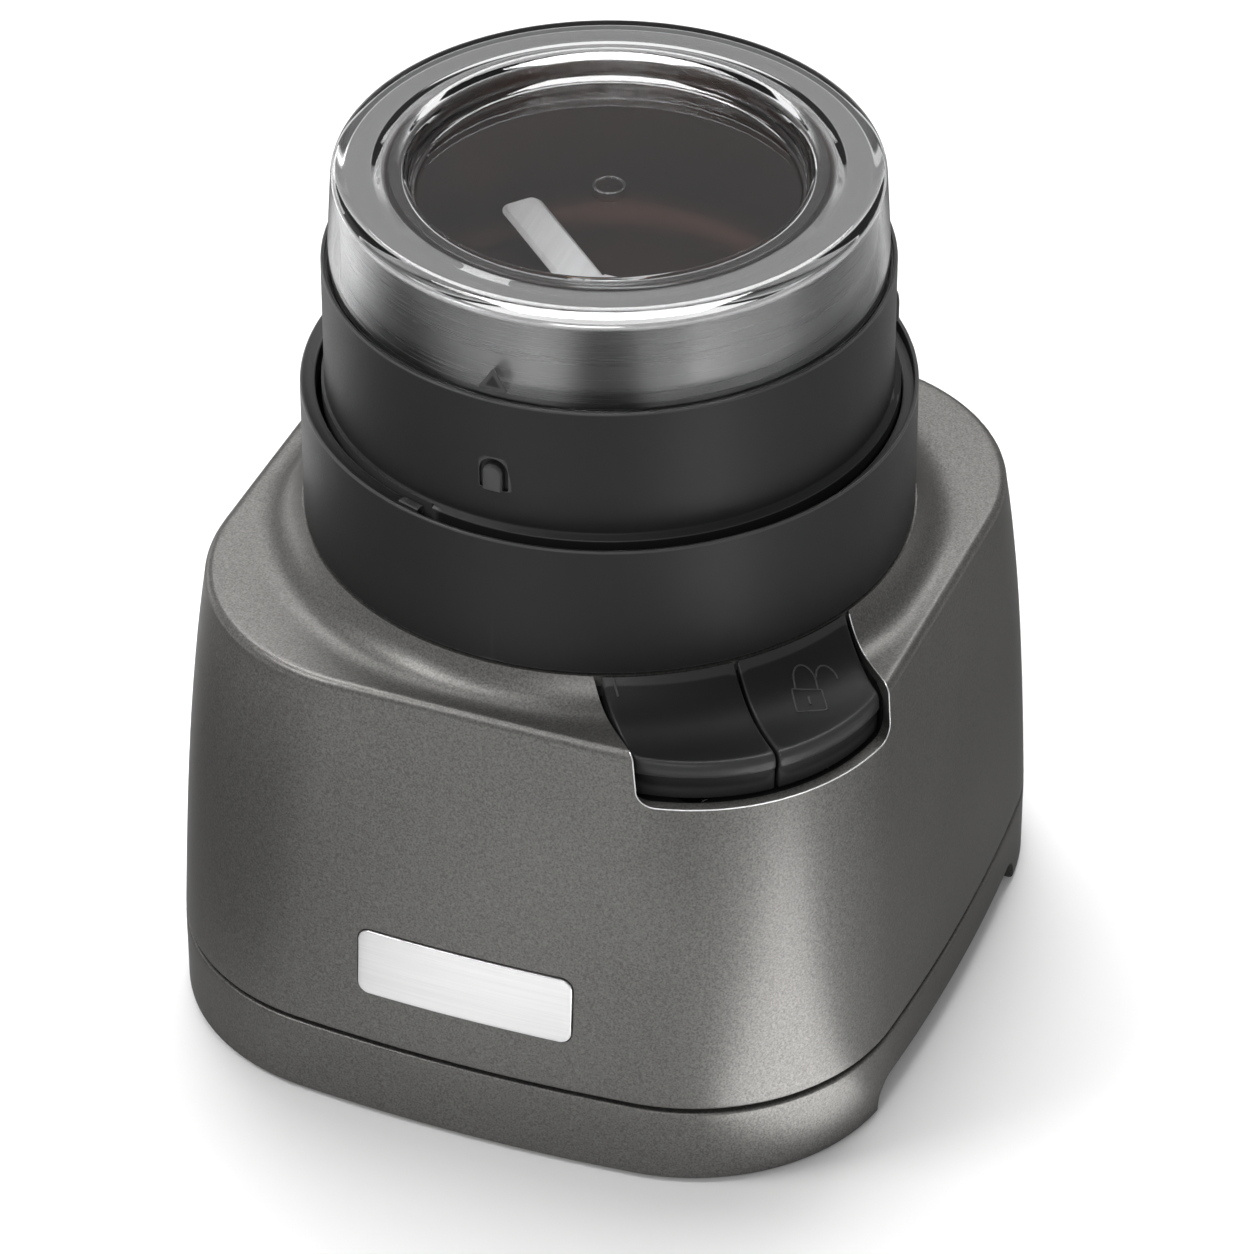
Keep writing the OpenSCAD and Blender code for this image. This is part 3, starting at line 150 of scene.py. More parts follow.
class ChopperMill(bpy.types.PropertyGroup):
    tower_r: size("Tower", "Radius of the drive tower", 63)
    tower_z: size("Tower foot", "Height of the tower's foot", foot_of("tower_ring"))
    tower_top: size("Tower top", "Height of the tower's rim", 138.6)
    mill_r: size("Mill", "Radius of the mill body", 58)
    mill_z: size("Mill foot", "Height of the mill's foot", foot_of("mill_body"))
    mill_top: size("Mill top", "Height of the mill body's shoulder", 166.7)
    cup_r: size("Cup", "Radius of the steel band", 53.4)
    cup_z: size("Cup foot", "Height of the band's lower edge", foot_of("steel_cup") + 14.3)
    cup_top: size("Cup top", "Height of the cup's flange", top_of("steel_cup"))
    bowl_r: size("Bowl", "Radius of the bowl", 44.2)
    bowl_z: size("Bowl floor", "Height of the bowl's floor", 147)
    blade_z: size("Blade", "Height of the blade", 152)
    blade_l: size("Blade reach", "Radius of the blade's tips", 40)
    blade_w: size("Blade width", "Width of the blade", 9)


class ChopperLid(bpy.types.PropertyGroup):
    foot_r: size("Foot", "Radius of the lid's foot", 56.8)
    foot_z: size("Foot height", "Height of the lid's foot", foot_of("lid"))
    top_r: size("Top", "Radius under the lid's top edge", 55.4)
    top_z: size("Top height", "Height of the lid's top", top_of("lid"))
    edge: size("Edge", "Radius of the lid's top edge", 2.8)
    wall: size("Wall", "Wall of the lid's skirt", 1.5)
    well_r: size("Well", "Radius of the well", 40.2)
    well_d: size("Well depth", "Depth of the well", 6)
    well_wall: size("Well wall", "Wall of the well", 1.7)


class ChopperFinish(bpy.types.PropertyGroup):
    paint: colour("Housing paint", "Metallic paint of the housing", (0.140, 0.137, 0.132))
    plinth: colour("Plinth paint", "Metallic paint of the plinth", (0.134, 0.131, 0.126))
    black: colour("Black plastic", "Satin plastic of the tower and the mill", (0.014, 0.014, 0.014))
    keys: colour("Key plastic", "Matt plastic of the keys", (0.009, 0.009, 0.009))
    # The band is given a far darker colour than the flange, though both are the same steel: painted shade.
    steel: colour("Band", "Turned steel of the cup's band", (0.125, 0.123, 0.122))
    flange: colour("Flange", "Turned steel of the cup's flange", (0.66, 0.655, 0.652))
    # The bowl is given a very dark brownish colour: painted shade for the inside of the covered bowl.
    bowl: colour("Bowl", "Dulled steel of the bowl", (0.048, 0.025, 0.020))
    blade: colour("Blade", "Ground steel of the blade", (0.90, 0.90, 0.90))
    badge: colour("Badge", "Brushed metal of the badge", (0.82, 0.82, 0.82))
    clear: colour("Lid", "Tint of the clear lid", (0.97, 0.975, 0.98))
    paint_rough: share("Paint roughness", "Roughness of the paint", 0.38)
    black_rough: share("Plastic roughness", "Roughness of the black plastic", 0.46)


def mm(group):
    """The group's lengths in millimetres, by name."""
    return SimpleNamespace(**{name: getattr(group, name)/MM for name in group.__class__.__annotations__})


# Shader expressions

class Wire:
    """An output in a shader; sums and products of wires and numbers add Math nodes."""

    def __init__(self, shader, socket):
        self.shader = shader
        self.socket = socket

    def maths(self, operation, first, second):
        return self.shader.node("ShaderNodeMath", {"operation": operation}, {0: first, 1: second})

    def __add__(self, other):
        return self.maths("ADD", self, other)

    def __radd__(self, other):
        return self.maths("ADD", other, self)

    def __sub__(self, other):
        return self.maths("SUBTRACT", self, other)

    def __rsub__(self, other):
        return self.maths("SUBTRACT", other, self)

    def __mul__(self, other):
        return self.maths("MULTIPLY", self, other)

    def either(self, other):
        return self.maths("MAXIMUM", self, other)


class Shader:
    """Nodes of one material or of the world."""

    def __init__(self, owner):
        owner.use_nodes = True
        self.owner = owner
        self.tree = owner.node_tree

    @classmethod
    def named(cls, name):
        return cls(bpy.data.materials.new(name))

    def put(self, socket, value):
        if isinstance(value, Wire):
            self.tree.links.new(value.socket, socket)
        elif hasattr(value, "__len__") and len(value) == 3 and len(socket.default_value) == 4:
            socket.default_value = (*value, 1)
        else:
            socket.default_value = value

    def node(self, kind, settings, sockets, out=0):
        """Adds a node, sets its settings first, then its sockets, and gives one output."""
        made = self.tree.nodes.new(kind)
        for name, value in settings.items():
            setattr(made, name, value)
        for key, value in sockets.items():
            self.put(made.inputs[key], value)
        return Wire(self, made.outputs[out])

    def place(self):
        return self.node("ShaderNodeTexCoord", {}, {}, "Object")

    def scaled(self, vector, scale):
        return self.node("ShaderNodeVectorMath", {"operation": "MULTIPLY"}, {0: vector, 1: scale})

    def noise(self, vector, scale, detail=2.0, rough=0.5):
        return self.node("ShaderNodeTexNoise", {}, {"Vector": vector, "Scale": scale, "Detail": detail,
                                                    "Roughness": rough})

    def blend(self, factor, dark, light):
        """Colour between two colours."""
        return self.node("ShaderNodeMix", {"data_type": "RGBA"}, {0: factor, 6: dark, 7: light}, 2)

    def bump(self, height, strength, distance):
        return self.node("ShaderNodeBump", {},
                         {"Height": height, "Strength": strength, "Distance": distance})

    def step(self, value, low, high):
        """Smooth rise from 0 to 1 between two values."""
        return self.node("ShaderNodeMapRange", {"interpolation_type": "SMOOTHSTEP"},
                         {0: value, 1: low, 2: high})

    def finish(self, **sockets):
        surface = self.tree.nodes["Principled BSDF"]
        for name, value in sockets.items():
            self.put(surface.inputs[name.replace("_", " ")], value)
        return self.owner


def shaded(rgb, factor):
    return tuple(min(1.0, c*factor) for c in rgb)


def paint_finish(name, rgb, rough):
    """Metallic satin paint: fine flakes over a cloudy ground."""
    s = Shader.named(name)
    at = s.place()
    flake = s.noise(at, 2400, 1.0)
    grain = s.noise(at, 1100, 3.0, 0.6)
    cloud = s.noise(at, 28, 2.0)
    tone = flake*0.7 + grain*0.2 + cloud*0.1
    mottle = s.node("ShaderNodeMapRange", {}, {0: tone, 1: 0.34, 2: 0.66, 3: 0.0, 4: 1.0})
    return s.finish(
        Base_Color=s.blend(mottle, shaded(rgb, 0.72), shaded(rgb, 1.30)),
        Metallic=0.7,
        Specular_Tint=(0.35, 0.35, 0.35),
        Roughness=rough + (flake - 0.5)*0.16,
        Normal=s.bump(flake*0.6 + grain*0.4, 0.12, 0.0003),
    )


def moulded_finish(name, rgb, rough, sheen, grain_scale=2200, strength=0.10):
    """Satin moulded plastic with a spark-eroded grain; rounded edges are smoother and painted paler, a
    painted highlight.
    """
    s = Shader.named(name)
    at = s.place()
    grain = s.noise(at, grain_scale, 3.0, 0.6)
    wear = s.noise(at, 35, 3.0)
    # Pointiness picks out rounded edges; their base colour is lifted fourfold as a painted highlight.
    edge = s.step(s.node("ShaderNodeNewGeometry", {}, {}, "Pointiness"), 0.508, 0.524)
    ground = s.blend(wear, shaded(rgb, 0.88), shaded(rgb, 1.12))
    return s.finish(
        Base_Color=s.blend(edge, ground, shaded(rgb, 4)),
        Roughness=rough + (grain - 0.5)*0.14 + (wear - 0.5)*0.06 - edge*0.15,
        Specular_IOR_Level=sheen,
        Normal=s.bump(grain, strength, 0.0002),
    )


def cup_finish(name, band, flange, bowl, rough, sizes):
    """Steel turned in fine lines: a band painted dark with painted reflection streaks, a pale flange, and a
    bowl painted very dark as painted shade.
    """
    s = Shader.named(name)
    at = s.place()
    flat = s.scaled(at, (1, 1, 0))
    far = s.node("ShaderNodeVectorMath", {"operation": "LENGTH"}, {0: flat}, 1)
    high = s.node("ShaderNodeSeparateXYZ", {}, {0: at}, 2)
    line_at = s.node("ShaderNodeCombineXYZ", {}, {0: (far + high)*2600, 1: 0.0, 2: 0.0})
    where = s.node("ShaderNodeVectorMath", {"operation": "ADD"},
                   {0: line_at, 1: s.scaled(at, (14, 14, 14))})
    line = s.noise(where, 1.0, 3.0, 0.65)
    # Streaks that run upright lighten and darken the band's colour from 0.62 to 1.5 times: painted reflection
    # streaks, mixed with the turned lines.
    reflection_streak = s.noise(s.scaled(at, (34, 34, 0)), 1.0, 2.0, 0.6)
    reflection_and_lines = s.step(reflection_streak, 0.36, 0.64)*0.7 + line*0.3
    # The band's own dark colour beside the pale flange of the same steel is painted shade.
    side = s.blend(reflection_and_lines, shaded(band, 0.62), shaded(band, 1.5))
    rim = s.blend(line, shaded(flange, 0.97), shaded(flange, 1.03))
    # The bowl's inside in its very dark colour: painted shade, with turned lines over it.
    bowl_shade_and_lines = s.blend(line, shaded(bowl, 0.8), shaded(bowl, 1.2))
    inside = s.step(far, (sizes.bowl_r + 1.4)*MM, (sizes.bowl_r + 0.2)*MM)
    top = s.step(high, (sizes.cup_top - 1.6)*MM, (sizes.cup_top - 0.4)*MM)
    outer = s.blend(top, side, rim)
    return s.finish(
        Base_Color=s.blend(inside, outer, bowl_shade_and_lines),
        Metallic=1.0,
        Roughness=rough - top*0.12 + (line - 0.5)*0.06 + inside*0.3,
        Normal=s.bump(line, 0.01, 0.0001),
    )


def brushed_finish(name, rgb, rough, along=(30, 30, 2600), metallic=1.0):
    """Sheet metal brushed in straight lines."""
    s = Shader.named(name)
    line = s.noise(s.scaled(s.place(), along), 1.0, 3.0, 0.6)
    return s.finish(
        Base_Color=s.blend(line, shaded(rgb, 0.88), shaded(rgb, 1.1)),
        Metallic=metallic,
        Roughness=rough + (line - 0.5)*0.16,
        Normal=s.bump(line, 0.06, 0.0001),
    )


def clear_finish(name, rgb, rough):
    """Clear polished plastic, faintly uneven."""
    s = Shader.named(name)
    haze = s.noise(s.place(), 60, 2.0)
    return s.finish(
        Base_Color=s.blend(haze, shaded(rgb, 0.985), rgb),
        Roughness=rough + haze*0.02,
        IOR=1.49,
        Transmission_Weight=1.0,
    )


def plain_finish(name, rgb, rough, metallic=0.0, scale=500, depth=0.08):
    """Inner pieces: an even ground with a little grain."""
    s = Shader.named(name)
    grain = s.noise(s.place(), scale, 3.0, 0.6)
    return s.finish(
        Base_Color=s.blend(grain, shaded(rgb, 0.86), shaded(rgb, 1.12)),
        Metallic=metallic,
        Roughness=rough + (grain - 0.5)*0.2,
        Normal=s.bump(grain, depth, 0.0002),
    )


def slot_finish(slot):
    """The finish of one material slot of the record."""
    name = "slot " + slot
    if name in bpy.data.materials:
        return bpy.data.materials[name]
    scene = bpy.context.scene
    finish = scene.chopper_finish
    maker, *values = {
        "housing_grey": (paint_finish, finish.paint, finish.paint_rough),
        "plinth_grey": (paint_finish, finish.plinth, finish.paint_rough),
        "badge_metal": (brushed_finish, finish.badge, 0.34),
        "black_satin": (moulded_finish, finish.black, finish.black_rough, 0.22),
        "key_black": (moulded_finish, finish.keys, 0.46, 0.2, 2600, 0.14),
        "cup_steel": (cup_finish, finish.steel, finish.flange, finish.bowl, 0.28, mm(scene.chopper_mill)),
        "blade_steel": (brushed_finish, finish.blade, 0.42, (900, 30, 30), 0.5),
        "clear_lid": (clear_finish, finish.clear, 0.0),
        "silicone": (clear_finish, (0.93, 0.94, 0.94), 0.12),
        "black_rubber": (plain_finish, (0.022, 0.022, 0.022), 0.72),
        "seal_rubber": (plain_finish, (0.10, 0.10, 0.10), 0.66),
        "screw_steel": (plain_finish, (0.62, 0.62, 0.64), 0.32, 1.0, 900, 0.03),
        "shaft_steel": (plain_finish, (0.66, 0.67, 0.69), 0.26, 1.0, 1200, 0.03),
        "bracket_alloy": (plain_finish, (0.55, 0.56, 0.58), 0.5, 1.0, 700, 0.2),
        "iron_stack": (brushed_finish, (0.30, 0.31, 0.33), 0.5, (10, 10, 1400)),
        "copper": (brushed_finish, (0.62, 0.27, 0.10), 0.36, (60, 60, 1600)),
        "brass": (plain_finish, (0.70, 0.52, 0.22), 0.34, 1.0),
        "bronze": (plain_finish, (0.48, 0.31, 0.14), 0.5, 1.0, 1500, 0.2),
        "carbon": (plain_finish, (0.05, 0.05, 0.055), 0.6),
        "fan_nylon": (plain_finish, (0.07, 0.07, 0.075), 0.55),
        "coupling_nylon": (plain_finish, (0.05, 0.05, 0.05), 0.5),
        "latch_acetal": (plain_finish, (0.76, 0.76, 0.71), 0.4),
        "board_green": (plain_finish, (0.03, 0.2, 0.08), 0.35),
        "board_parts": (plain_finish, (0.07, 0.1, 0.22), 0.4),
        "switch_case": (plain_finish, (0.06, 0.065, 0.1), 0.5),
    }[slot]
    return maker(name, *values)


# Outlines, in millimetres

def spread(start, end, steps):
    """Even values from start to end."""
    return [start + (end - start)*i/steps for i in range(steps + 1)]


def quarter_round(radius, steps):
    """Places round a quarter turn: how far each lies in from the first side and short of the second."""
    return [(radius*(1 - cos(turn)), radius*(1 - sin(turn))) for turn in spread(0, QUARTER, steps)]


def circle(x, y, radius, steps):
    return [(x + radius*cos(TAU*i/steps), y + radius*sin(TAU*i/steps)) for i in range(steps)]


def block(x0, x1, y0, y1, *rounds):
    """Corners of a rectangle from the lower left on, with no rounds, one for all or one for each."""
    rounds = rounds*(4//len(rounds)) if rounds else (0, 0, 0, 0)
    return list(zip((x0, x1, x1, x0), (y0, y0, y1, y1), rounds))


def fillet(corners, steps=6, hold=0):
    """Outline with each corner rounded by its third number, and a point held beside both ends of a round."""
    points = []
    for i, corner in enumerate(corners):
        here = Vector(corner[:2])
        radius = corner[2] if len(corner) > 2 else 0
        if not radius:
            points.append(here)
            continue
        back = Vector(corners[i - 1][:2]) - here
        on = Vector(corners[(i + 1) % len(corners)][:2]) - here
        half = back.angle(on)/2
        cut = min(radius/tan(half), 0.49*back.length, 0.49*on.length)
        held = [here + side.normalized()*min(cut + hold, 0.495*side.length) for side in (back, on)]
        back.normalize()
        on.normalize()
        centre = here + (back + on).normalized()*(cut/cos(half))
        start = here + back*cut - centre
        end = here + on*cut - centre
        arc = [centre + Vector((start.x*cos(turn) - start.y*sin(turn),
                                start.x*sin(turn) + start.y*cos(turn)))
               for turn in spread(0, -start.angle_signed(end), steps)]
        points += [held[0], *arc, held[1]] if hold else arc
    return points


def split(points, longest, parts):
    """Outline with points added along its long edges, so that it can be bent."""
    out = []
    for p, q in zip(points, points[1:] + points[:1]):
        out.append(p)
        if (q - p).length > longest:
            out += [p + (q - p)*u/parts for u in range(1, parts)]
    return out


# Meshes, from points in millimetres

def spun(turn):
    """Map that turns a point about the upright axis."""
    c, n = cos(turn), sin(turn)
    return lambda x, y, z: (x*c - y*n, x*n + y*c, z)


# Point from the keys' frame: outwards, across, up
from_keys = spun(KEY_TURN)


def mesh_object(name, verts, faces, sharp=SHARP):
    """Object with faces out and edges sharp above an angle."""
    mesh = bpy.data.meshes.new(name)
    mesh.from_pydata([Vector(v)*MM for v in verts], [], faces)
    obj = bpy.data.objects.new(name, mesh)
    bpy.context.scene.collection.objects.link(obj)
    tidy(obj, sharp)
    return obj


def tidy(obj, sharp):
    """Joins points that meet and drops slivers."""
    work = bmesh.new()
    work.from_mesh(obj.data)
    bmesh.ops.remove_doubles(work, verts=work.verts, dist=0.002*MM)
    bmesh.ops.dissolve_degenerate(work, edges=work.edges, dist=0.001*MM)
    bmesh.ops.recalc_face_normals(work, faces=work.faces)
    work.to_mesh(obj.data)
    work.free()
    smooth(obj.data, sharp)


def smooth(mesh, sharp):
    """Smooth shading with sharp edges above an angle."""
    mesh.polygons.foreach_set("use_smooth", [True]*len(mesh.polygons))
    mesh.set_sharp_from_angle(angle=radians(sharp))


def skin(rings, loop=False):
    """Points and faces over a stack of rings, which has caps or loops back to the first ring."""
    n = len(rings[0])
    verts = [p for ring in rings for p in ring]
    faces = []
    for k in range(len(rings) if loop else len(rings) - 1):
        low, high = k*n, (k + 1) % len(rings)*n
        for i in range(n):
            j = (i + 1) % n
            faces.append((low + i, low + j, high + j, high + i))
    if not loop:
        faces.append(tuple(range(n))[::-1])
        faces.append(tuple(range(len(verts) - n, len(verts))))
    return verts, faces


def turned(profile, turns):
    """Rings of an outline of radius and height about the upright axis."""
    return [[spun(turn)(p[0], 0, p[1]) for p in profile] for turn in turns]


def lathe(name, profile, steps, sharp=SHARP):
    """Solid of revolution."""
    return mesh_object(name, *skin(turned(profile, [TAU*i/steps for i in range(steps)]), True), sharp)


def tool(rings):
    """Body to cut or join with."""
    return mesh_object("tool", *skin(rings))


def swept_arc(profile, start, sweep, steps):
    """Tool over part of a turn, in degrees from the X axis."""
    return tool(turned(profile, [radians(turn) for turn in spread(start, start + sweep, steps)]))


def prism(outline, low, high, place):
    """Tool over a closed outline; place maps (x, y, depth) to a point."""
    return tool([[place(p[0], p[1], d) for p in outline] for d in (low, high)])


def bead(name, path, radius, sides=8, closed=False):
    """Thin round line along points."""
    points = [Vector(p) for p in path]
    rings = []
    across = None
    for i, p in enumerate(points):
        before = points[i - 1] if i or closed else p
        after = points[(i + 1) % len(points)] if i + 1 < len(points) or closed else p
        along = (after - before).normalized()
        if across is None:
            across = along.orthogonal().normalized()
        across = (across - along*across.dot(along)).normalized()
        up = along.cross(across)
        rings.append([p + across*x + up*y for x, y in circle(0, 0, radius, sides)])
    return mesh_object(name, *skin(rings, closed), 60)


def carve(obj, other, operation="DIFFERENCE", sharp=SHARP):
    """Cuts or joins a tool, which is used up."""
    change = obj.modifiers.new("carve", "BOOLEAN")
    change.operation = operation
    change.solver = "EXACT"
    change.object = other
    graph = bpy.context.evaluated_depsgraph_get()
    made = bpy.data.meshes.new_from_object(obj.evaluated_get(graph))
    obj.modifiers.clear()
    old = obj.data
    name = old.name
    obj.data = made
    bpy.data.meshes.remove(old)
    made.name = name
    bpy.data.meshes.remove(other.data)
    tidy(obj, sharp)


def settle(obj, body, slot, nodes=()):
    """Puts a finished piece on its body with its finish."""
    obj.data.materials.clear()
    obj.data.materials.append(slot_finish(slot))
    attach(obj, body)
    if nodes:
        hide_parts(*nodes)
    return obj


# Shape of the base

def side_turn(reach, corner, bow):
    """Half angle of a bowed side that runs smoothly into its corners."""
    turn = 0.0
    for _ in range(40):
        short = reach - corner + corner*sin(turn)
        turn = 2*atan(max(0.0, bow + corner*(1 - cos(turn)))/short)
    return turn


def plan(half_w, half_d, corner, bow, arc=28, side=16):
    """Plan of the base: four round corners and four bowed sides, from +X round to +Y."""
    points = []
    turn_w = side_turn(half_d, corner, bow)
    turn_d = side_turn(half_w, corner, bow)
    for q in range(4):
        first, second = (turn_w, turn_d) if q % 2 == 0 else (turn_d, turn_w)
        chord, reach = (half_w, half_d) if q % 2 == 0 else (half_d, half_w)
        sign_x = 1 if q in (0, 3) else -1
        sign_y = 1 if q < 2 else -1
        centre = Vector(((half_w - corner)*sign_x, (half_d - corner)*sign_y))
        for i in range(arc + 1):
            turn = q*QUARTER + first + (QUARTER - first - second)*i/arc
            points.append(centre + corner*Vector((cos(turn), sin(turn))))
        half = chord - corner + corner*sin(second)
        bend = half/sin(second) if second > 1e-6 else None
        out = Vector((cos((q + 1)*QUARTER), sin((q + 1)*QUARTER)))
        over = Vector((-out.y, out.x))
        for i in range(1, side):
            if bend is None:
                points.append(out*reach + over*(-half + 2*half*i/side))
                continue
            turn = -second + 2*second*i/side
            points.append(out*(reach + bow - bend + bend*cos(turn)) + over*bend*sin(turn))
    return points


class Wall:
    """The base's leaning wall, in millimetres."""

    def __init__(self, base):
        self.b = base
        self.upper = base.shoulder_z - base.edge

    def halves(self, z):
        """Half width, half depth and bow at a height."""
        b = self.b
        rise = max(0.0, min(1.0, (z - b.seam_z)/(b.shoulder_z - b.seam_z)))
        lean = 0.55*rise + 0.45*rise**3
        half_w = b.width/2 - b.bow
        half_d = b.depth/2 - b.bow
        return half_w + (b.shoulder/2 - half_w)*lean, half_d + (b.shoulder/2 - half_d)*lean, b.bow*(1 - lean)

    def ring(self, z, inset, at_z):
        """Ring of the plan at one height, drawn in by inset and laid at another height."""
        half_w, half_d, bow = self.halves(z)
        return [(p.x, p.y, at_z) for p in plan(half_w - inset, half_d - inset, self.b.corner - inset, bow)]

    def top_height(self, far, rad):
        """Height of the top face at a radius, where the face starts at far."""
        b = self.b
        reach = min(b.flare_w, far - b.throat)
        return b.shoulder_z + b.flare*max(0.0, 1 - (rad - b.throat)/reach)**3

    def top(self, share, inset):
        """Ring on the top face, from the shoulder at 0 to the throat at 1."""
        b = self.b
        points = []
        for x, y, _ in self.ring(self.upper, b.edge + inset, 0):
            far = hypot(x, y)
            rad = far + (b.throat - far)*share
            points.append((x*rad/far, y*rad/far, self.top_height(far, rad) - inset))
        return points

    def corner_centre(self, z):
        """Centre of the keys' corner in their own frame: outwards and across."""
        half_w, half_d, _ = self.halves(z)
        return ((half_w + half_d - 2*self.b.corner)/sqrt(2), (half_w - half_d)/sqrt(2))

    def corner_reach(self, t, z, inset=0):
        """How far out the keys' corner lies at a place across."""
        s, c = self.corner_centre(z)
        return s + sqrt((self.b.corner - inset)**2 - (t - c)**2)

    def front(self, x, z):
        """How far the front wall lies from the axis."""
        half_w, half_d, bow = self.halves(z)
        turn = side_turn(half_w, self.b.corner, bow)
        bend = (half_w - self.b.corner + self.b.corner*sin(turn))/sin(turn)
        return half_d + bow - bend + sqrt(bend*bend - x*x)


# Steps that build the pieces

def latch_window(low, high):
    """Tool for the opening that the latch's hook slides in."""
    near, far, half, turn = 56.9, 60.5, 4.8, radians(13)
    return prism(block(near, far, -half, half), low, high, spun(KEY_TURN + turn))


class CHOPPER_OT_housing(bpy.types.Operator):
    """Grey shell of the base, with the slot for the keys and a painted highlight line along the slot's edge
    """
    bl_idname = "chopper.housing"
    bl_label = "Housing"

    def execute(self, context):
        b = mm(context.scene.chopper_base)
        k = mm(context.scene.chopper_keys)
        wall = Wall(b)
        throat_z = b.shoulder_z + b.flare
        shell = mesh_object("housing_shell", *skin(self.rings(wall, b, throat_z), True))
        half = k.width/2 + k.clear
        above, outside, collar = 130, 120, b.throat - 0.2
        opening = fillet(block(-half, half, k.slot_z, above, k.slot_r, k.slot_r, 0, 0), 8)
        slot_tool = prism(opening, b.throat - 16, outside, lambda t, z, d: from_keys(d, t, z))
        carve(slot_tool, lathe("tool", block(AXIS, collar, 60, 140), 192))
        carve(shell, slot_tool)
        gland_z, gland_r, within, behind = 33, 7, 60, 100
        carve(shell, prism(circle(0, gland_z, gland_r, 48), within, behind, lambda x, z, d: (x, d, z)))
        carve(shell, latch_window(throat_z - 8, throat_z + 3))
        settle(shell, "base", "housing_grey", ["housing"])
        # A thin bright metal bead along the slot's edge stands in for the edge's highlight: a painted
        # highlight.
        line = bead("slot_edge", self.slot_highlight_line(wall, b, k, half), 0.14)
        settle(line, "base", "badge_metal")
        return {"FINISHED"}

    def rings(self, wall, b, throat_z):
        """Rings up the outside, over the top, through the mouth and down the inside."""
        foot = b.seam_z + b.seam/2
        lip, mouth_r = 0.7, 59
        rings = [wall.ring(foot, short, foot + inset) for inset, short in quarter_round(lip, 4)[:-1]]
        rings += [wall.ring(z, 0, z) for z in spread(foot + lip, wall.upper, 30)]
        rings += [wall.ring(wall.upper, inset, b.shoulder_z - short)
                  for inset, short in quarter_round(b.edge, 8)[1:]]
        rings += [wall.top(1 - (1 - i/30)**1.5, 0) for i in range(1, 31)]
        throat = rings[-1]
        rings += [[(x*mouth_r/b.throat, y*mouth_r/b.throat, z) for x, y, _ in throat]
                  for z in (throat_z, throat_z - b.wall)]
        rings += [wall.top(1 - (i/14)**1.5, b.wall) for i in range(15)]
        return rings + [wall.ring(z, b.wall, z) for z in spread(wall.upper - b.wall, foot, 12)]

    def slot_highlight_line(self, wall, b, k, half):
        """Painted highlight line round the slot where it cuts the outer skin, from one end at the tower to
        the other.
        """
        sink = 0.1

        def on_wall(t, z):
            return from_keys(wall.corner_reach(t, z) - 0.12, t, z)

        def on_edge(t, turn):
            s = wall.corner_reach(t, wall.upper, b.edge*(1 - cos(turn)))
            z = b.shoulder_z - b.edge*(1 - sin(turn))
            return from_keys(s - sink*cos(turn), t, z - sink*sin(turn))

        def on_top(t, u):
            s, c = wall.corner_centre(wall.upper)
            near = sqrt(b.throat**2 - t*t)
            at = near + (wall.corner_reach(t, wall.upper, b.edge) - near)*u
            rad = hypot(at, t)
            middle = (s*at + c*t)/rad
            far = middle + sqrt(middle*middle - s*s - c*c + (b.corner - b.edge)**2)
            # On the top, the left side's line is sunk under the skin, so there the painted highlight shows
            # only on the right side.
            return from_keys(at, t, wall.top_height(far, rad) - (sink if t > 0 else 0.45))

        def side(sign):
            """Down one side of the slot and round its lower corner."""
            t = sign*half
            run = [on_top(t, u) for u in spread(0.02, 1, 24)]
            run += [on_edge(t, turn) for turn in spread(QUARTER, 0, 8)[1:]]
            run += [on_wall(t, z) for z in spread(wall.upper, k.slot_z + k.slot_r, 6)[1:]]
            return run + [on_wall(sign*(half - inset), k.slot_z + short)
                          for inset, short in quarter_round(k.slot_r, 6)[1:]]

        flat = half - k.slot_r
        bottom = [on_wall(t, k.slot_z) for t in spread(flat, -flat, 40)[1:-1]]
        return side(1) + bottom + side(-1)[::-1]


class CHOPPER_OT_plinth(bpy.types.Operator):
    """Bottom cover with an arch under each side and a vented tray"""
    bl_idname = "chopper.plinth"
    bl_label = "Plinth"

    def execute(self, context):
        b = mm(context.scene.chopper_base)
        top, low, z = b.seam_z - b.seam/2, b.floor_gap, b.seam_z
        wall, tongue, tongue_top = 2.4, 2.8, b.seam_z + 3
        tray_low, tray_top, tray_in = 8.6, 11, 30
        lip, foot_r = 0.6, 1.0
        levels = [(tray_in, tray_top), (tongue + 2, tray_top), (tongue + 2, tongue_top), (tongue, tongue_top),
                  (tongue, top), (lip + 0.4, top)]
        levels += [(short, top - inset) for inset, short in quarter_round(lip, 4)]
        levels += [(0, at) for at in spread(top - lip, low + foot_r, 8)[1:]]
        levels += [(inset, low + short) for inset, short in quarter_round(foot_r, 4)[1:]]
        levels += [(wall, low), (wall, tray_low), (tray_in, tray_low)]
        shell = mesh_object("plinth_cover", *skin([Wall(b).ring(z, inset, at) for inset, at in levels]))
        half = b.arch_l/2
        arch = fillet(block(b.arch_y - half, b.arch_y + half, -4, b.arch_h, 0, 0, b.arch_r, b.arch_r), 12)
        carve(shell, prism(arch, -120, 120, lambda y, z, d: (d, y, z)))
        slits, slit_in, slit_out, slit_w, slit_r = 12, 12, 24, 3, 1.2
        slit = fillet(block(slit_in, slit_out, -slit_w/2, slit_w/2, slit_r), 4)
        for i in range(slits):
            carve(shell, prism(slit, tray_low - 3.6, tray_top + 5, spun(TAU*i/slits)))
        settle(shell, "base", "plinth_grey", ["plinth"])
        return {"FINISHED"}


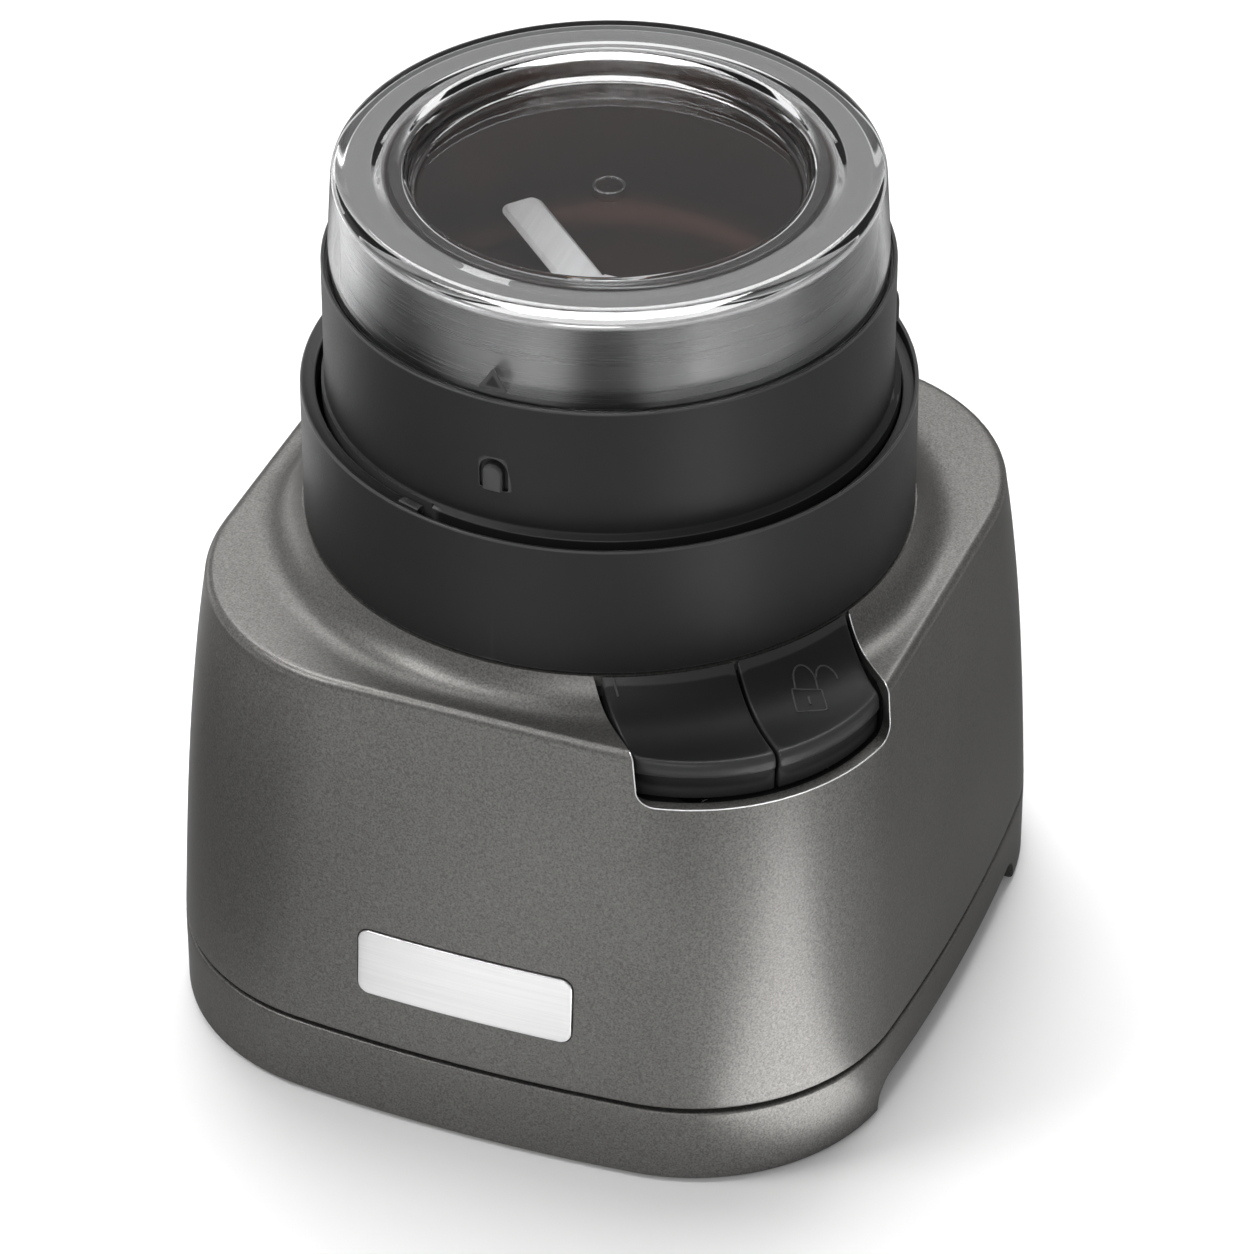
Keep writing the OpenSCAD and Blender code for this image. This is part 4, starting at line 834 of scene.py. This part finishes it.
class CHOPPER_OT_badge(bpy.types.Operator):
    """Bare badge plate with a softened edge, bent to the front wall"""
    bl_idname = "chopper.badge"
    bl_label = "Badge"

    def execute(self, context):
        b = mm(context.scene.chopper_base)
        wall = Wall(b)
        proud, soft, corner, sunk, play = 0.5, 0.3, 2.5, 0.7, 0.3

        def plate(inset):
            w, h, r = b.badge_w/2 - inset, b.badge_h/2 - inset, max(0.4, corner - inset)
            return split(fillet(block(-w, w, -h, h, r), 10), 5, 16)

        def laid(points, out):
            return [(b.badge_x + p.x, -wall.front(b.badge_x + p.x, b.badge_z + p.y) - out, b.badge_z + p.y)
                    for p in points]

        bed = tool([laid(plate(-play), -sunk - 0.05), laid(plate(-play), 3)])
        carve(bpy.data.objects["housing_shell"], bed)
        rings = [laid(plate(0), -sunk), laid(plate(0), proud - soft)]
        rings += [laid(plate(inset), proud - short) for inset, short in quarter_round(soft, 4)[1:]]
        rings += [laid([p*(1 - i/12) for p in plate(soft)], proud) for i in range(1, 12)]
        settle(mesh_object("badge", *skin(rings)), "base", "badge_metal", ["badge_plate"])
        return {"FINISHED"}


class CHOPPER_OT_tower(bpy.types.Operator):
    """Black drive tower with its thin rim, part lip and tab"""
    bl_idname = "chopper.tower"
    bl_label = "Tower"

    def execute(self, context):
        m = mm(context.scene.chopper_mill)
        r, low, top = m.tower_r, m.tower_z, m.tower_top
        rim, inside, ledge, ledge_t = r - 0.9, 60.6, 55.5, 2.1
        lip_r, drop, lip_t = 59.75, 2.6, 3.2
        ring = lathe("tower_wall", fillet([
            (ledge, low), (r, low, 0.3), (r, top, 0.45), (rim, top, 0.3), (rim, top - drop, 0.15),
            (lip_r, top - drop, 0.35), (lip_r, top - 5), (inside, top - 6), (inside, low + ledge_t),
            (ledge, low + ledge_t, 0.3)], 5, 0.4), 240)
        lip = fillet(block(lip_r + 0.1, rim + 0.3, top - lip_t, top - 0.02, 0, 0, 0, 0.45), 5, 0.4)
        lip_start, lip_sweep, tab_start, tab_sweep = -200, 94, -110.5, 4.5
        carve(ring, swept_arc(lip, lip_start, lip_sweep, 110), "UNION")
        tab = fillet(block(lip_r + 0.3, rim - 0.2, top - 1, top + 0.4, 0, 0, 0.3, 0.3), 4)
        carve(ring, swept_arc(tab, tab_start, tab_sweep, 8), "UNION")
        carve(ring, latch_window(low - 3, low + 4))
        settle(ring, "base", "black_satin", ["tower_ring"])
        return {"FINISHED"}


class CHOPPER_OT_mill(bpy.types.Operator):
    """Black mill body with its flange, keeper groove and three lugs in their recesses"""
    bl_idname = "chopper.mill"
    bl_label = "Mill body"

    def execute(self, context):
        m = mm(context.scene.chopper_mill)
        r, low, top, tower = m.mill_r, m.mill_z, m.mill_top, m.tower_top
        wall, skirt, seat, flange = 2.4, 56.5, 57.2, 59.4
        flange_z = tower - 3
        inside = r - wall
        keeper, groove = low + 5.7, skirt - 1.2
        hole = m.cup_r + 0.35
        shelf, shelf_r = m.cup_z - 1.8, m.cup_r - 2.9
        rows = [(r, tower + z) for z in (3, 6, 8, 8.4, 16, 16.4, 18, 21, 24, 27)]
        body = lathe("mill_shell", fillet([
            (skirt - wall, low), (skirt, low, 0.4), (skirt, keeper), (groove, keeper), (groove, keeper + 3),
            (skirt, keeper + 3), (skirt, flange_z - 1), (flange, flange_z, 0.3), (flange, tower, 0.35),
            (r, tower + 0.9, 0.5), *rows, (r, top + 1.2, 0.35), (seat, top + 1.2, 0.2), (seat, top),
            (hole, top, 0.2), (hole, top - 2.4), (inside, top - 3.6), (inside, shelf), (shelf_r, shelf),
            (shelf_r, shelf - 2.5), (inside, shelf - 4.5), (inside, flange_z + 1),
            (skirt - wall, flange_z - 1)], 5, 0.4), 240)
        outside, relief_start, relief_sweep = 62, -201.6, 97.2
        relief = block(flange - 0.8, outside, flange_z - 2, tower + 1.4)
        carve(body, swept_arc(relief, relief_start, relief_sweep, 110))
        lug_w, lug_h, lug_z, gap = 2.1, 6.2, tower + 8.5, 1.0
        pocket = self.dome(lug_w + gap, lug_z, lug_h + gap)
        domes = [(self.dome(lug_w - inset, lug_z + inset, lug_h - 2*inset), r + out)
                 for inset, out in ((0, 0.3 - wall), (0, 0.4), (0.1, 0.8), (0.3, 1.1), (0.6, 1.2))]
        for i in range(3):
            place = spun(TAU*i/3 - radians(1.2))
            carve(body, prism(pocket, r - 0.7, r + 8, lambda x, z, d: place(x, -d, z)))
            carve(body, tool([[place(p.x, -out, p.y) for p in dome] for dome, out in domes]), "UNION")
        settle(body, "mill", "black_satin", ["mill_body"])
        return {"FINISHED"}

    def dome(self, half, z, height):
        """Outline with a flat foot, upright sides and a round top."""
        return fillet(block(-half, half, z, z + height, 0.4, 0.4, half*0.98, half*0.98), 8)


class CHOPPER_OT_cup(bpy.types.Operator):
    """Pressed steel cup: band, rolled flange and bowl"""
    bl_idname = "chopper.cup"
    bl_label = "Steel cup"

    def execute(self, context):
        m = mm(context.scene.chopper_mill)
        sheet, bore = 0.8, 8.05
        r, bowl, top, floor = m.cup_r, m.bowl_r, m.cup_top, m.bowl_z
        cup = lathe("cup_shell", fillet([
            (r - sheet, m.cup_z), (r, m.cup_z, 0.2), (r, top, 1.3), (bowl, top, 1.1), (bowl, floor, 6),
            (bore, floor), (bore, floor - sheet), (bowl + sheet, floor - sheet, 6.8),
            (bowl + sheet, top - sheet, 0.4), (r - sheet, top - sheet, 0.6)], 8, 0.3), 240)
        settle(cup, "mill", "cup_steel", ["steel_cup"])
        return {"FINISHED"}


class CHOPPER_OT_blade(bpy.types.Operator):
    """Two-armed blade with ground edges, tilted up towards its tips"""
    bl_idname = "chopper.blade"
    bl_label = "Blade"

    def execute(self, context):
        m = mm(context.scene.chopper_mill)
        z = m.blade_z
        place = spun(radians(140))
        tilt = tan(radians(6))
        root, hub, bore, thick, tip, ground, sharp = 6.6, 8.0, 3.05, 1.2, 2.5, 0.9, 24

        def bar(inset, up):
            """Ring round the bar, drawn in by inset, at a height over its underside."""
            reach, half = m.blade_l - inset, m.blade_w/2 - inset
            points = split(fillet(block(-reach, reach, -half, half, tip - inset), 8), 30, 14)
            return [place(p.x, p.y, z + up + max(0.0, abs(p.x) - root)*tilt) for p in points]

        rings = [bar(0.25, 0.0), bar(0, 0.2), bar(0, 0.45), bar(ground, thick)]
        blade = mesh_object("blade_bar", *skin(rings), sharp)
        disc = fillet(block(AXIS, hub, z, z + thick, 0, 0.2, 0.3, 0), 3)
        carve(blade, lathe("tool", disc, 96), "UNION", sharp)
        carve(blade, lathe("tool", block(AXIS, bore, z - 5, z + 5), 48), "DIFFERENCE", sharp)
        settle(blade, "blade", "blade_steel", ["blade"])
        return {"FINISHED"}


class CHOPPER_OT_lid(bpy.types.Operator):
    """Clear twist-off lid with a rounded top edge, a well and a dark pointer mark"""
    bl_idname = "chopper.lid"
    bl_label = "Lid"

    def execute(self, context):
        d = mm(context.scene.chopper_lid)
        plug = d.well_r + d.well_wall
        window = 2.0
        plate = d.top_z - 2.2
        floor = d.top_z - d.well_d
        seat = mm(context.scene.chopper_mill).cup_top + 0.3
        step_in, step_out, middle = 45.5, 47.5, 0.02
        lid = lathe("lid_cover", fillet([
            (middle, floor), (middle, floor - window), (plug, floor - window, 0.9), (plug, plate, 0.5),
            (step_in, plate, 1), (step_out, seat, 1), (d.top_r - d.wall, seat, 0.3),
            (d.foot_r - d.wall, d.foot_z, 0.3), (d.foot_r, d.foot_z, 0.4), (d.top_r, d.top_z, d.edge),
            (d.well_r, d.top_z, 3.2), (d.well_r, floor, 2.0)], 12, 0.3), 256, 40)
        settle(lid, "lid", "clear_lid", ["lid"])
        bpy.data.collections["Lid glints"].objects.link(lid)
        gate_in, gate_out = 2.8, 3.3
        gate = fillet(block(gate_in, gate_out, floor - 0.02, floor + 0.22, 0, 0.1, 0.18, 0.18), 4)
        settle(lathe("lid_gate_ring", gate, 64), "lid", "clear_lid")
        settle(mesh_object("lid_pointer", *skin(self.pointer(d))), "lid", "black_satin")
        return {"FINISHED"}

    def pointer(self, d):
        """Rings of a raised triangle bent to the leaning skirt."""
        lean = (d.top_r - d.foot_r)/(d.top_z - d.edge - d.foot_z)
        half, low, high = 3.2, 169.6, 174.6
        corners = fillet([(-half, low, 0.3), (half, low, 0.3), (0, high, 0.3)], 4)
        centre = Vector((0, low + 1.6))
        turn = radians(-1.7)
        rings = []
        for grow, out in ((1, -0.05), (1, 0.14), (0.9, 0.2), (0.3, 0.2)):
            ring = []
            for p in corners:
                q = centre + (p - centre)*grow
                r = d.foot_r + lean*(q.y - d.foot_z) + out
                a = turn + q.x/r
                ring.append((r*sin(a), -r*cos(a), q.y))
            rings.append(ring)
        return rings


class KeyShape:
    """Curved form of the press keys, in millimetres."""

    def __init__(self, scene):
        self.k = mm(scene.chopper_keys)
        base = mm(scene.chopper_base)
        self.centre = Wall(base).corner_centre(self.k.slot_z)[0]
        self.throat = base.throat
        self.collar = base.throat + 0.3

    def height(self, rad):
        """Height of the keys' top at a radius."""
        k = self.k
        return k.top_z + k.rise*max(0.0, 1 - (rad - self.throat)/k.reach)**3.5

    def section(self, t, inset):
        """Closed outline across one key at a place, drawn in all round by inset."""
        k = self.k
        face = k.face - inset
        low = k.low_z + inset
        step = k.low_z + 0.62*(k.top_z - k.low_z)
        soft, step_d = 1.6, 0.5
        near = sqrt((self.collar + inset)**2 - t*t)
        band = self.centre + sqrt(face*face - t*t)
        deep = self.centre + sqrt((face - step_d)**2 - t*t)
        points = [(near, low)]
        points += [(s, self.height(hypot(s, t)) - inset) for s in spread(near, band - soft, 22)]
        crest = points[-1][1]
        points += [(band - short, crest - drop) for drop, short in quarter_round(soft, 6)[1:]]
        points += [(band, step + 0.25), (band - 0.12, step + 0.06),
                   (deep + 0.04, step - 0.04), (deep, step - 0.2)]
        return points + [(deep, low + 0.5), (deep - 0.5, low)]

    def solid(self, name, side):
        """Key body with rounded side edges."""
        start, end, soft = self.k.gap/2, self.k.width/2, 0.5
        edge = quarter_round(soft, 4)
        places = [(start + inset, short) for inset, short in edge]
        places += [(t, 0) for t in spread(start + soft, end - soft, 20)[1:-1]]
        places += [(end - inset, short) for inset, short in edge[::-1]]
        return mesh_object(name, *skin([[from_keys(s, side*t, z) for s, z in self.section(t, draw)]
                                        for t, draw in places]))

    def cavity(self, t):
        """Outline of the hollow under a key, open below and towards the tower."""
        k = self.k
        near = sqrt((self.collar - 2)**2 - t*t)
        face = self.centre + sqrt((k.face - k.skin)**2 - t*t)
        below = k.low_z - 4
        roof = [(s, self.height(max(hypot(s, t), self.throat)) - k.skin) for s in spread(near, face, 16)]
        return [(near, below), *roof, (face, below)]


class CHOPPER_OT_keys(bpy.types.Operator):
    """Two press keys with hollow tops, rounded edges and a stepped face"""
    bl_idname = "chopper.keys"
    bl_label = "Keys"

    def execute(self, context):
        shape = KeyShape(context.scene)
        k = shape.k
        near, far = k.gap/2, k.width/2
        pivot_s, pivot_z, pin_r, eye_r = 60, 96, 1.55, 3.1
        eye = [radians(turn) for turn in spread(90, 260, 20)]
        for name, side in (("left_key", -1), ("right_key", 1)):
            def place(s, z, t):
                return from_keys(s, side*t, z)

            cap = shape.solid(name + "_cap", side)
            carve(cap, tool([[place(s, z, t) for s, z in shape.cavity(t)]
                             for t in (near + k.skin, (near + far)/2, far - k.skin)]))
            for arm, end in ((1.9, 6.1), (far - 6.3, far - 1.9)):
                web = [(pivot_s + eye_r*cos(a), pivot_z + eye_r*sin(a)) for a in eye]
                web += [(pivot_s + 8, pivot_z - 1)]
                web += [(pivot_s + q, shape.height(hypot(pivot_s + q, end)) - 1) for q in (10, 6)]
                carve(cap, prism(web, arm, end, place), "UNION")
            carve(cap, prism(circle(pivot_s, pivot_z, pin_r, 24), -1, 40, place))
            settle(cap, name, "key_black", [name])
        return {"FINISHED"}


class CHOPPER_OT_key_marks(bpy.types.Operator):
    """Raised signs on the keys: a short line and a padlock with an open shackle"""
    bl_idname = "chopper.key_marks"
    bl_label = "Key signs"

    def execute(self, context):
        shape = KeyShape(context.scene)

        def line(name, body, points, radius, closed=False):
            ends = points + points[:1] if closed else points
            path = []
            for p, q in zip(ends, ends[1:]):
                path += list(zip(spread(p[0], q[0], 6), spread(p[1], q[1], 6)))[:-1]
            if not closed:
                path.append(points[-1])
            laid = [from_keys(s, t, shape.height(hypot(s, t)) + 0.02) for s, t in path]
            settle(bead(name, laid, radius, 6, closed), body, "black_satin")

        line_in, line_out, line_t = 58.9, 61.4, -24.4
        line("left_key_line", "left_key", [(line_in, line_t), (line_out, line_t)], 0.3)
        s0, t0, tilt = 71.7, 12.5, radians(-12)

        def sign(across, up):
            """Point of the padlock sign: across and up in the sign's own frame."""
            u = across*cos(tilt) - up*sin(tilt)
            v = across*sin(tilt) + up*cos(tilt)
            return (s0 - v, t0 + u)

        half, foot, top, bow_r, bow_h = 3.1, -3.2, 2.0, 2.3, 2.4
        body = [sign(*p) for p in fillet(block(-half, half, foot, top, 0.3), 2)]
        line("padlock_body", "right_key", body, 0.2, True)
        line("padlock_keyhole", "right_key", [sign(0, -1.5), sign(0, 0.4)], 0.25)
        bow = [sign(bow_r*cos(a), 4.0 + bow_h*sin(a)) for a in spread(pi, 0, 12)]
        line("padlock_shackle", "right_key", [sign(-bow_r, top), *bow, sign(bow_r, top)], 0.2)
        swing = [sign(2.5 + 2.2*(1 - cos(a)), 4.6 + bow_h*sin(a)) for a in spread(0, pi, 12)]
        line("padlock_open_shackle", "right_key", swing, 0.2)
        return {"FINISHED"}


class CHOPPER_OT_springs(bpy.types.Operator):
    """Coil springs under the keys"""
    bl_idname = "chopper.springs"
    bl_label = "Key springs"

    def execute(self, context):
        k = mm(context.scene.chopper_keys)
        wire, r, turns, steps, reach = 0.45, 3.4, 5, 24, 74
        low, high = foot_of("left_key_spring"), top_of("left_key_spring")
        for side, name in ((-1, "left"), (1, "right")):
            s, t = reach, side*k.width/4
            path = []
            for i, z in enumerate(spread(low + wire, high - wire, turns*steps)):
                turn = TAU*i/steps
                path.append(from_keys(s + r*cos(turn), t + r*sin(turn), z))
            coil = settle(bead(name + "_key_coil", path, wire), "base", "shaft_steel", [name + "_key_spring"])
            foot = tuple(Vector(from_keys(s, t, low))*MM)
            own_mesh(coil)
        return {"FINISHED"}


class CHOPPER_OT_inner(bpy.types.Operator):
    """Finishes of the inner pieces that keep their own shapes"""
    bl_idname = "chopper.inner"
    bl_label = "Inner finishes"

    def execute(self, context):
        for part in frame["record"]["subparts"]:
            node = frame["nodes"][part["node"]]
            if node.hide_render:
                continue
            node.data.materials.clear()
            node.data.materials.append(slot_finish(part["material_slot"]))
            smooth(node.data, SHARP)
        return {"FINISHED"}


class CHOPPER_OT_stage(bpy.types.Operator):
    """Pale floor, soft studio light, white surround and the camera"""
    bl_idname = "chopper.stage"
    bl_label = "Stage"

    def execute(self, context):
        scene = context.scene
        scene.view_settings.view_transform = "Standard"
        self.surround(scene)
        self.floor()
        middle = (0, 0, 0.06)
        sky = self.lamp("sky_panel", self.towards(200, 66)*1.5, middle, 1.0, 1.0, 26)
        sky.visible_transmission = False
        self.lamp("left_panel", self.towards(-55, 55)*1.6, middle, 0.4, 0.4, 8)
        self.lamp("left_card", self.towards(-116, 9)*1.6, (0, 0, 0.10), 0.8, 0.3, 3)
        self.lamp("front_panel", self.towards(12, 42)*1.6, middle, 0.6, 0.6, 4.6)
        self.lamp("floor_strip", Vector((0.162, -0.105, 0.002)), (0.162, -0.105, 1), 0.185, 0.06, 0.135, 20.6)
        glint = self.lamp("lid_panel", self.towards(22, 62)*1.4, (0, 0, 0.18), 1.8, 1.5, 210)
        glint.light_linking.receiver_collection = bpy.data.collections.new("Lid glints")
        glint.visible_transmission = False
        self.camera(scene)
        return {"FINISHED"}

    def surround(self, scene):
        """White to the camera, pale up to a dim ceiling in mirrors and through glass, and dim as a light."""
        scene.world = bpy.data.worlds.new("Surround")
        s = Shader(scene.world)
        camera, glossy, through = [s.node("ShaderNodeLightPath", {}, {}, kind)
                                   for kind in ("Is Camera Ray", "Is Glossy Ray", "Is Transmission Ray")]
        aim = s.node("ShaderNodeTexCoord", {}, {}, "Generated")
        back_and_up = [s.node("ShaderNodeSeparateXYZ", {}, {0: aim}, axis) for axis in (1, 2)]
        behind, above = [s.step(part, 0.2, 0.5) for part in back_and_up]
        ceiling = 1 - above*0.6
        mirrored = (0.7 - above*0.45)*(1 - behind*0.75)
        seen = camera.either((through*ceiling).either(glossy*mirrored))
        dim = 0.3
        sockets = s.tree.nodes["Background"].inputs
        s.put(sockets["Color"], (1, 1, 1))
        s.put(sockets["Strength"], seen.either(dim))

    def floor(self):
        """Pale floor that takes the shadow and fades to white; in mirrors it has soft dark cards on it."""
        s = Shader.named("Pale floor")
        at = s.place()
        far = s.node("ShaderNodeVectorMath", {"operation": "LENGTH"}, {0: at}, 1)
        fade = s.step(far, 0.35, 1.3)
        near = s.blend(s.noise(at, 6, 2.0), (0.82, 0.82, 0.82), (0.84, 0.84, 0.84))
        card = None
        for x, y, inner, outer, depth in DARK_CARDS:
            off = s.node("ShaderNodeVectorMath", {"operation": "DISTANCE"}, {0: at, 1: (x, y, 0)}, 1)
            spot = s.step(off, outer, inner)*depth
            card = spot if card is None else card.either(spot)
        dark = s.node("ShaderNodeLightPath", {}, {}, "Is Glossy Ray")*card
        s.finish(
            Base_Color=s.blend(dark.either(fade), near, (0, 0, 0)),
            Roughness=0.9,
            Specular_IOR_Level=0.0,
            Emission_Color=s.blend(dark, s.blend(fade, (0.05, 0.05, 0.05), (1, 1, 1)), (0, 0, 0)),
            Emission_Strength=1.0,
        )
        half = 4000
        corners = [(x, y, 0) for x, y, _ in block(-half, half, -half, half)]
        floor = mesh_object("floor", corners, [(0, 1, 2, 3)])
        floor.data.materials.append(s.owner)

    def lamp(self, name, place, aim, width, height, power, turn=0):
        """Panel of light, in metres and watts, that the camera doesn't see."""
        data = bpy.data.lights.new(name, "AREA")
        data.shape = "RECTANGLE"
        data.size, data.size_y = width, height
        data.energy = power
        lamp = bpy.data.objects.new(name, data)
        lamp.visible_camera = False
        bpy.context.scene.collection.objects.link(lamp)
        lamp.location = place
        lamp.rotation_mode = "QUATERNION"
        aimed = (Vector(aim) - place).to_track_quat("-Z", "Y")
        lamp.rotation_quaternion = aimed @ Quaternion((0, 0, 1), radians(turn))
        return lamp

    def towards(self, azimuth, elevation):
        """Direction to a place around the object; azimuth 0 is in front of it."""
        a, e = radians(azimuth), radians(elevation)
        return Vector((sin(a)*cos(e), -cos(a)*cos(e), sin(e)))

    def camera(self, scene):
        """Long lens from the front right, looking down on the object."""
        pivot_z, distance = 138.59, 1328.70
        data = bpy.data.cameras.new("camera")
        data.sensor_width = 36
        data.lens = 187.29
        data.clip_end = 50
        eye = bpy.data.objects.new("camera", data)
        scene.collection.objects.link(eye)
        eye.location = Vector((0, 0, pivot_z*MM)) + self.towards(21.8759, 34.24)*distance*MM
        eye.rotation_mode = "QUATERNION"
        eye.rotation_quaternion = (-self.towards(21.6888, 36.4839)).to_track_quat("-Z", "Y")
        scene.camera = eye


# Panel and registration

OPERATORS = (
    CHOPPER_OT_stage, CHOPPER_OT_housing, CHOPPER_OT_plinth, CHOPPER_OT_badge, CHOPPER_OT_tower,
    CHOPPER_OT_mill, CHOPPER_OT_cup, CHOPPER_OT_blade, CHOPPER_OT_lid, CHOPPER_OT_keys, CHOPPER_OT_key_marks,
    CHOPPER_OT_springs, CHOPPER_OT_inner,
)
GROUPS = (
    (ChopperBase, "chopper_base"), (ChopperKeys, "chopper_keys"), (ChopperMill, "chopper_mill"),
    (ChopperLid, "chopper_lid"), (ChopperFinish, "chopper_finish"),
)


class CHOPPER_PT_sidebar(bpy.types.Panel):
    """Lists the sizes, the colours and the steps that build the chopper"""
    bl_idname = "CHOPPER_PT_sidebar"
    bl_label = "Food chopper"
    bl_space_type = "VIEW_3D"
    bl_region_type = "UI"
    bl_category = "Chopper"

    def draw(self, context):
        for group, name in GROUPS:
            box = self.layout.box()
            for field in group.__annotations__:
                box.prop(getattr(context.scene, name), field)
        for operator in OPERATORS:
            self.layout.operator(operator.bl_idname)


def register():
    for group, name in GROUPS:
        bpy.utils.register_class(group)
        setattr(bpy.types.Scene, name, PointerProperty(type=group))
    for cls in (*OPERATORS, CHOPPER_PT_sidebar):
        bpy.utils.register_class(cls)


def unregister():
    for cls in (CHOPPER_PT_sidebar, *OPERATORS[::-1]):
        bpy.utils.unregister_class(cls)
    for group, name in GROUPS[::-1]:
        delattr(bpy.types.Scene, name)
        bpy.utils.unregister_class(group)


def main():
    register()
    for operator in OPERATORS:
        group, name = operator.bl_idname.split(".")
        getattr(getattr(bpy.ops, group), name)()


if __name__ == "__main__":
    main()
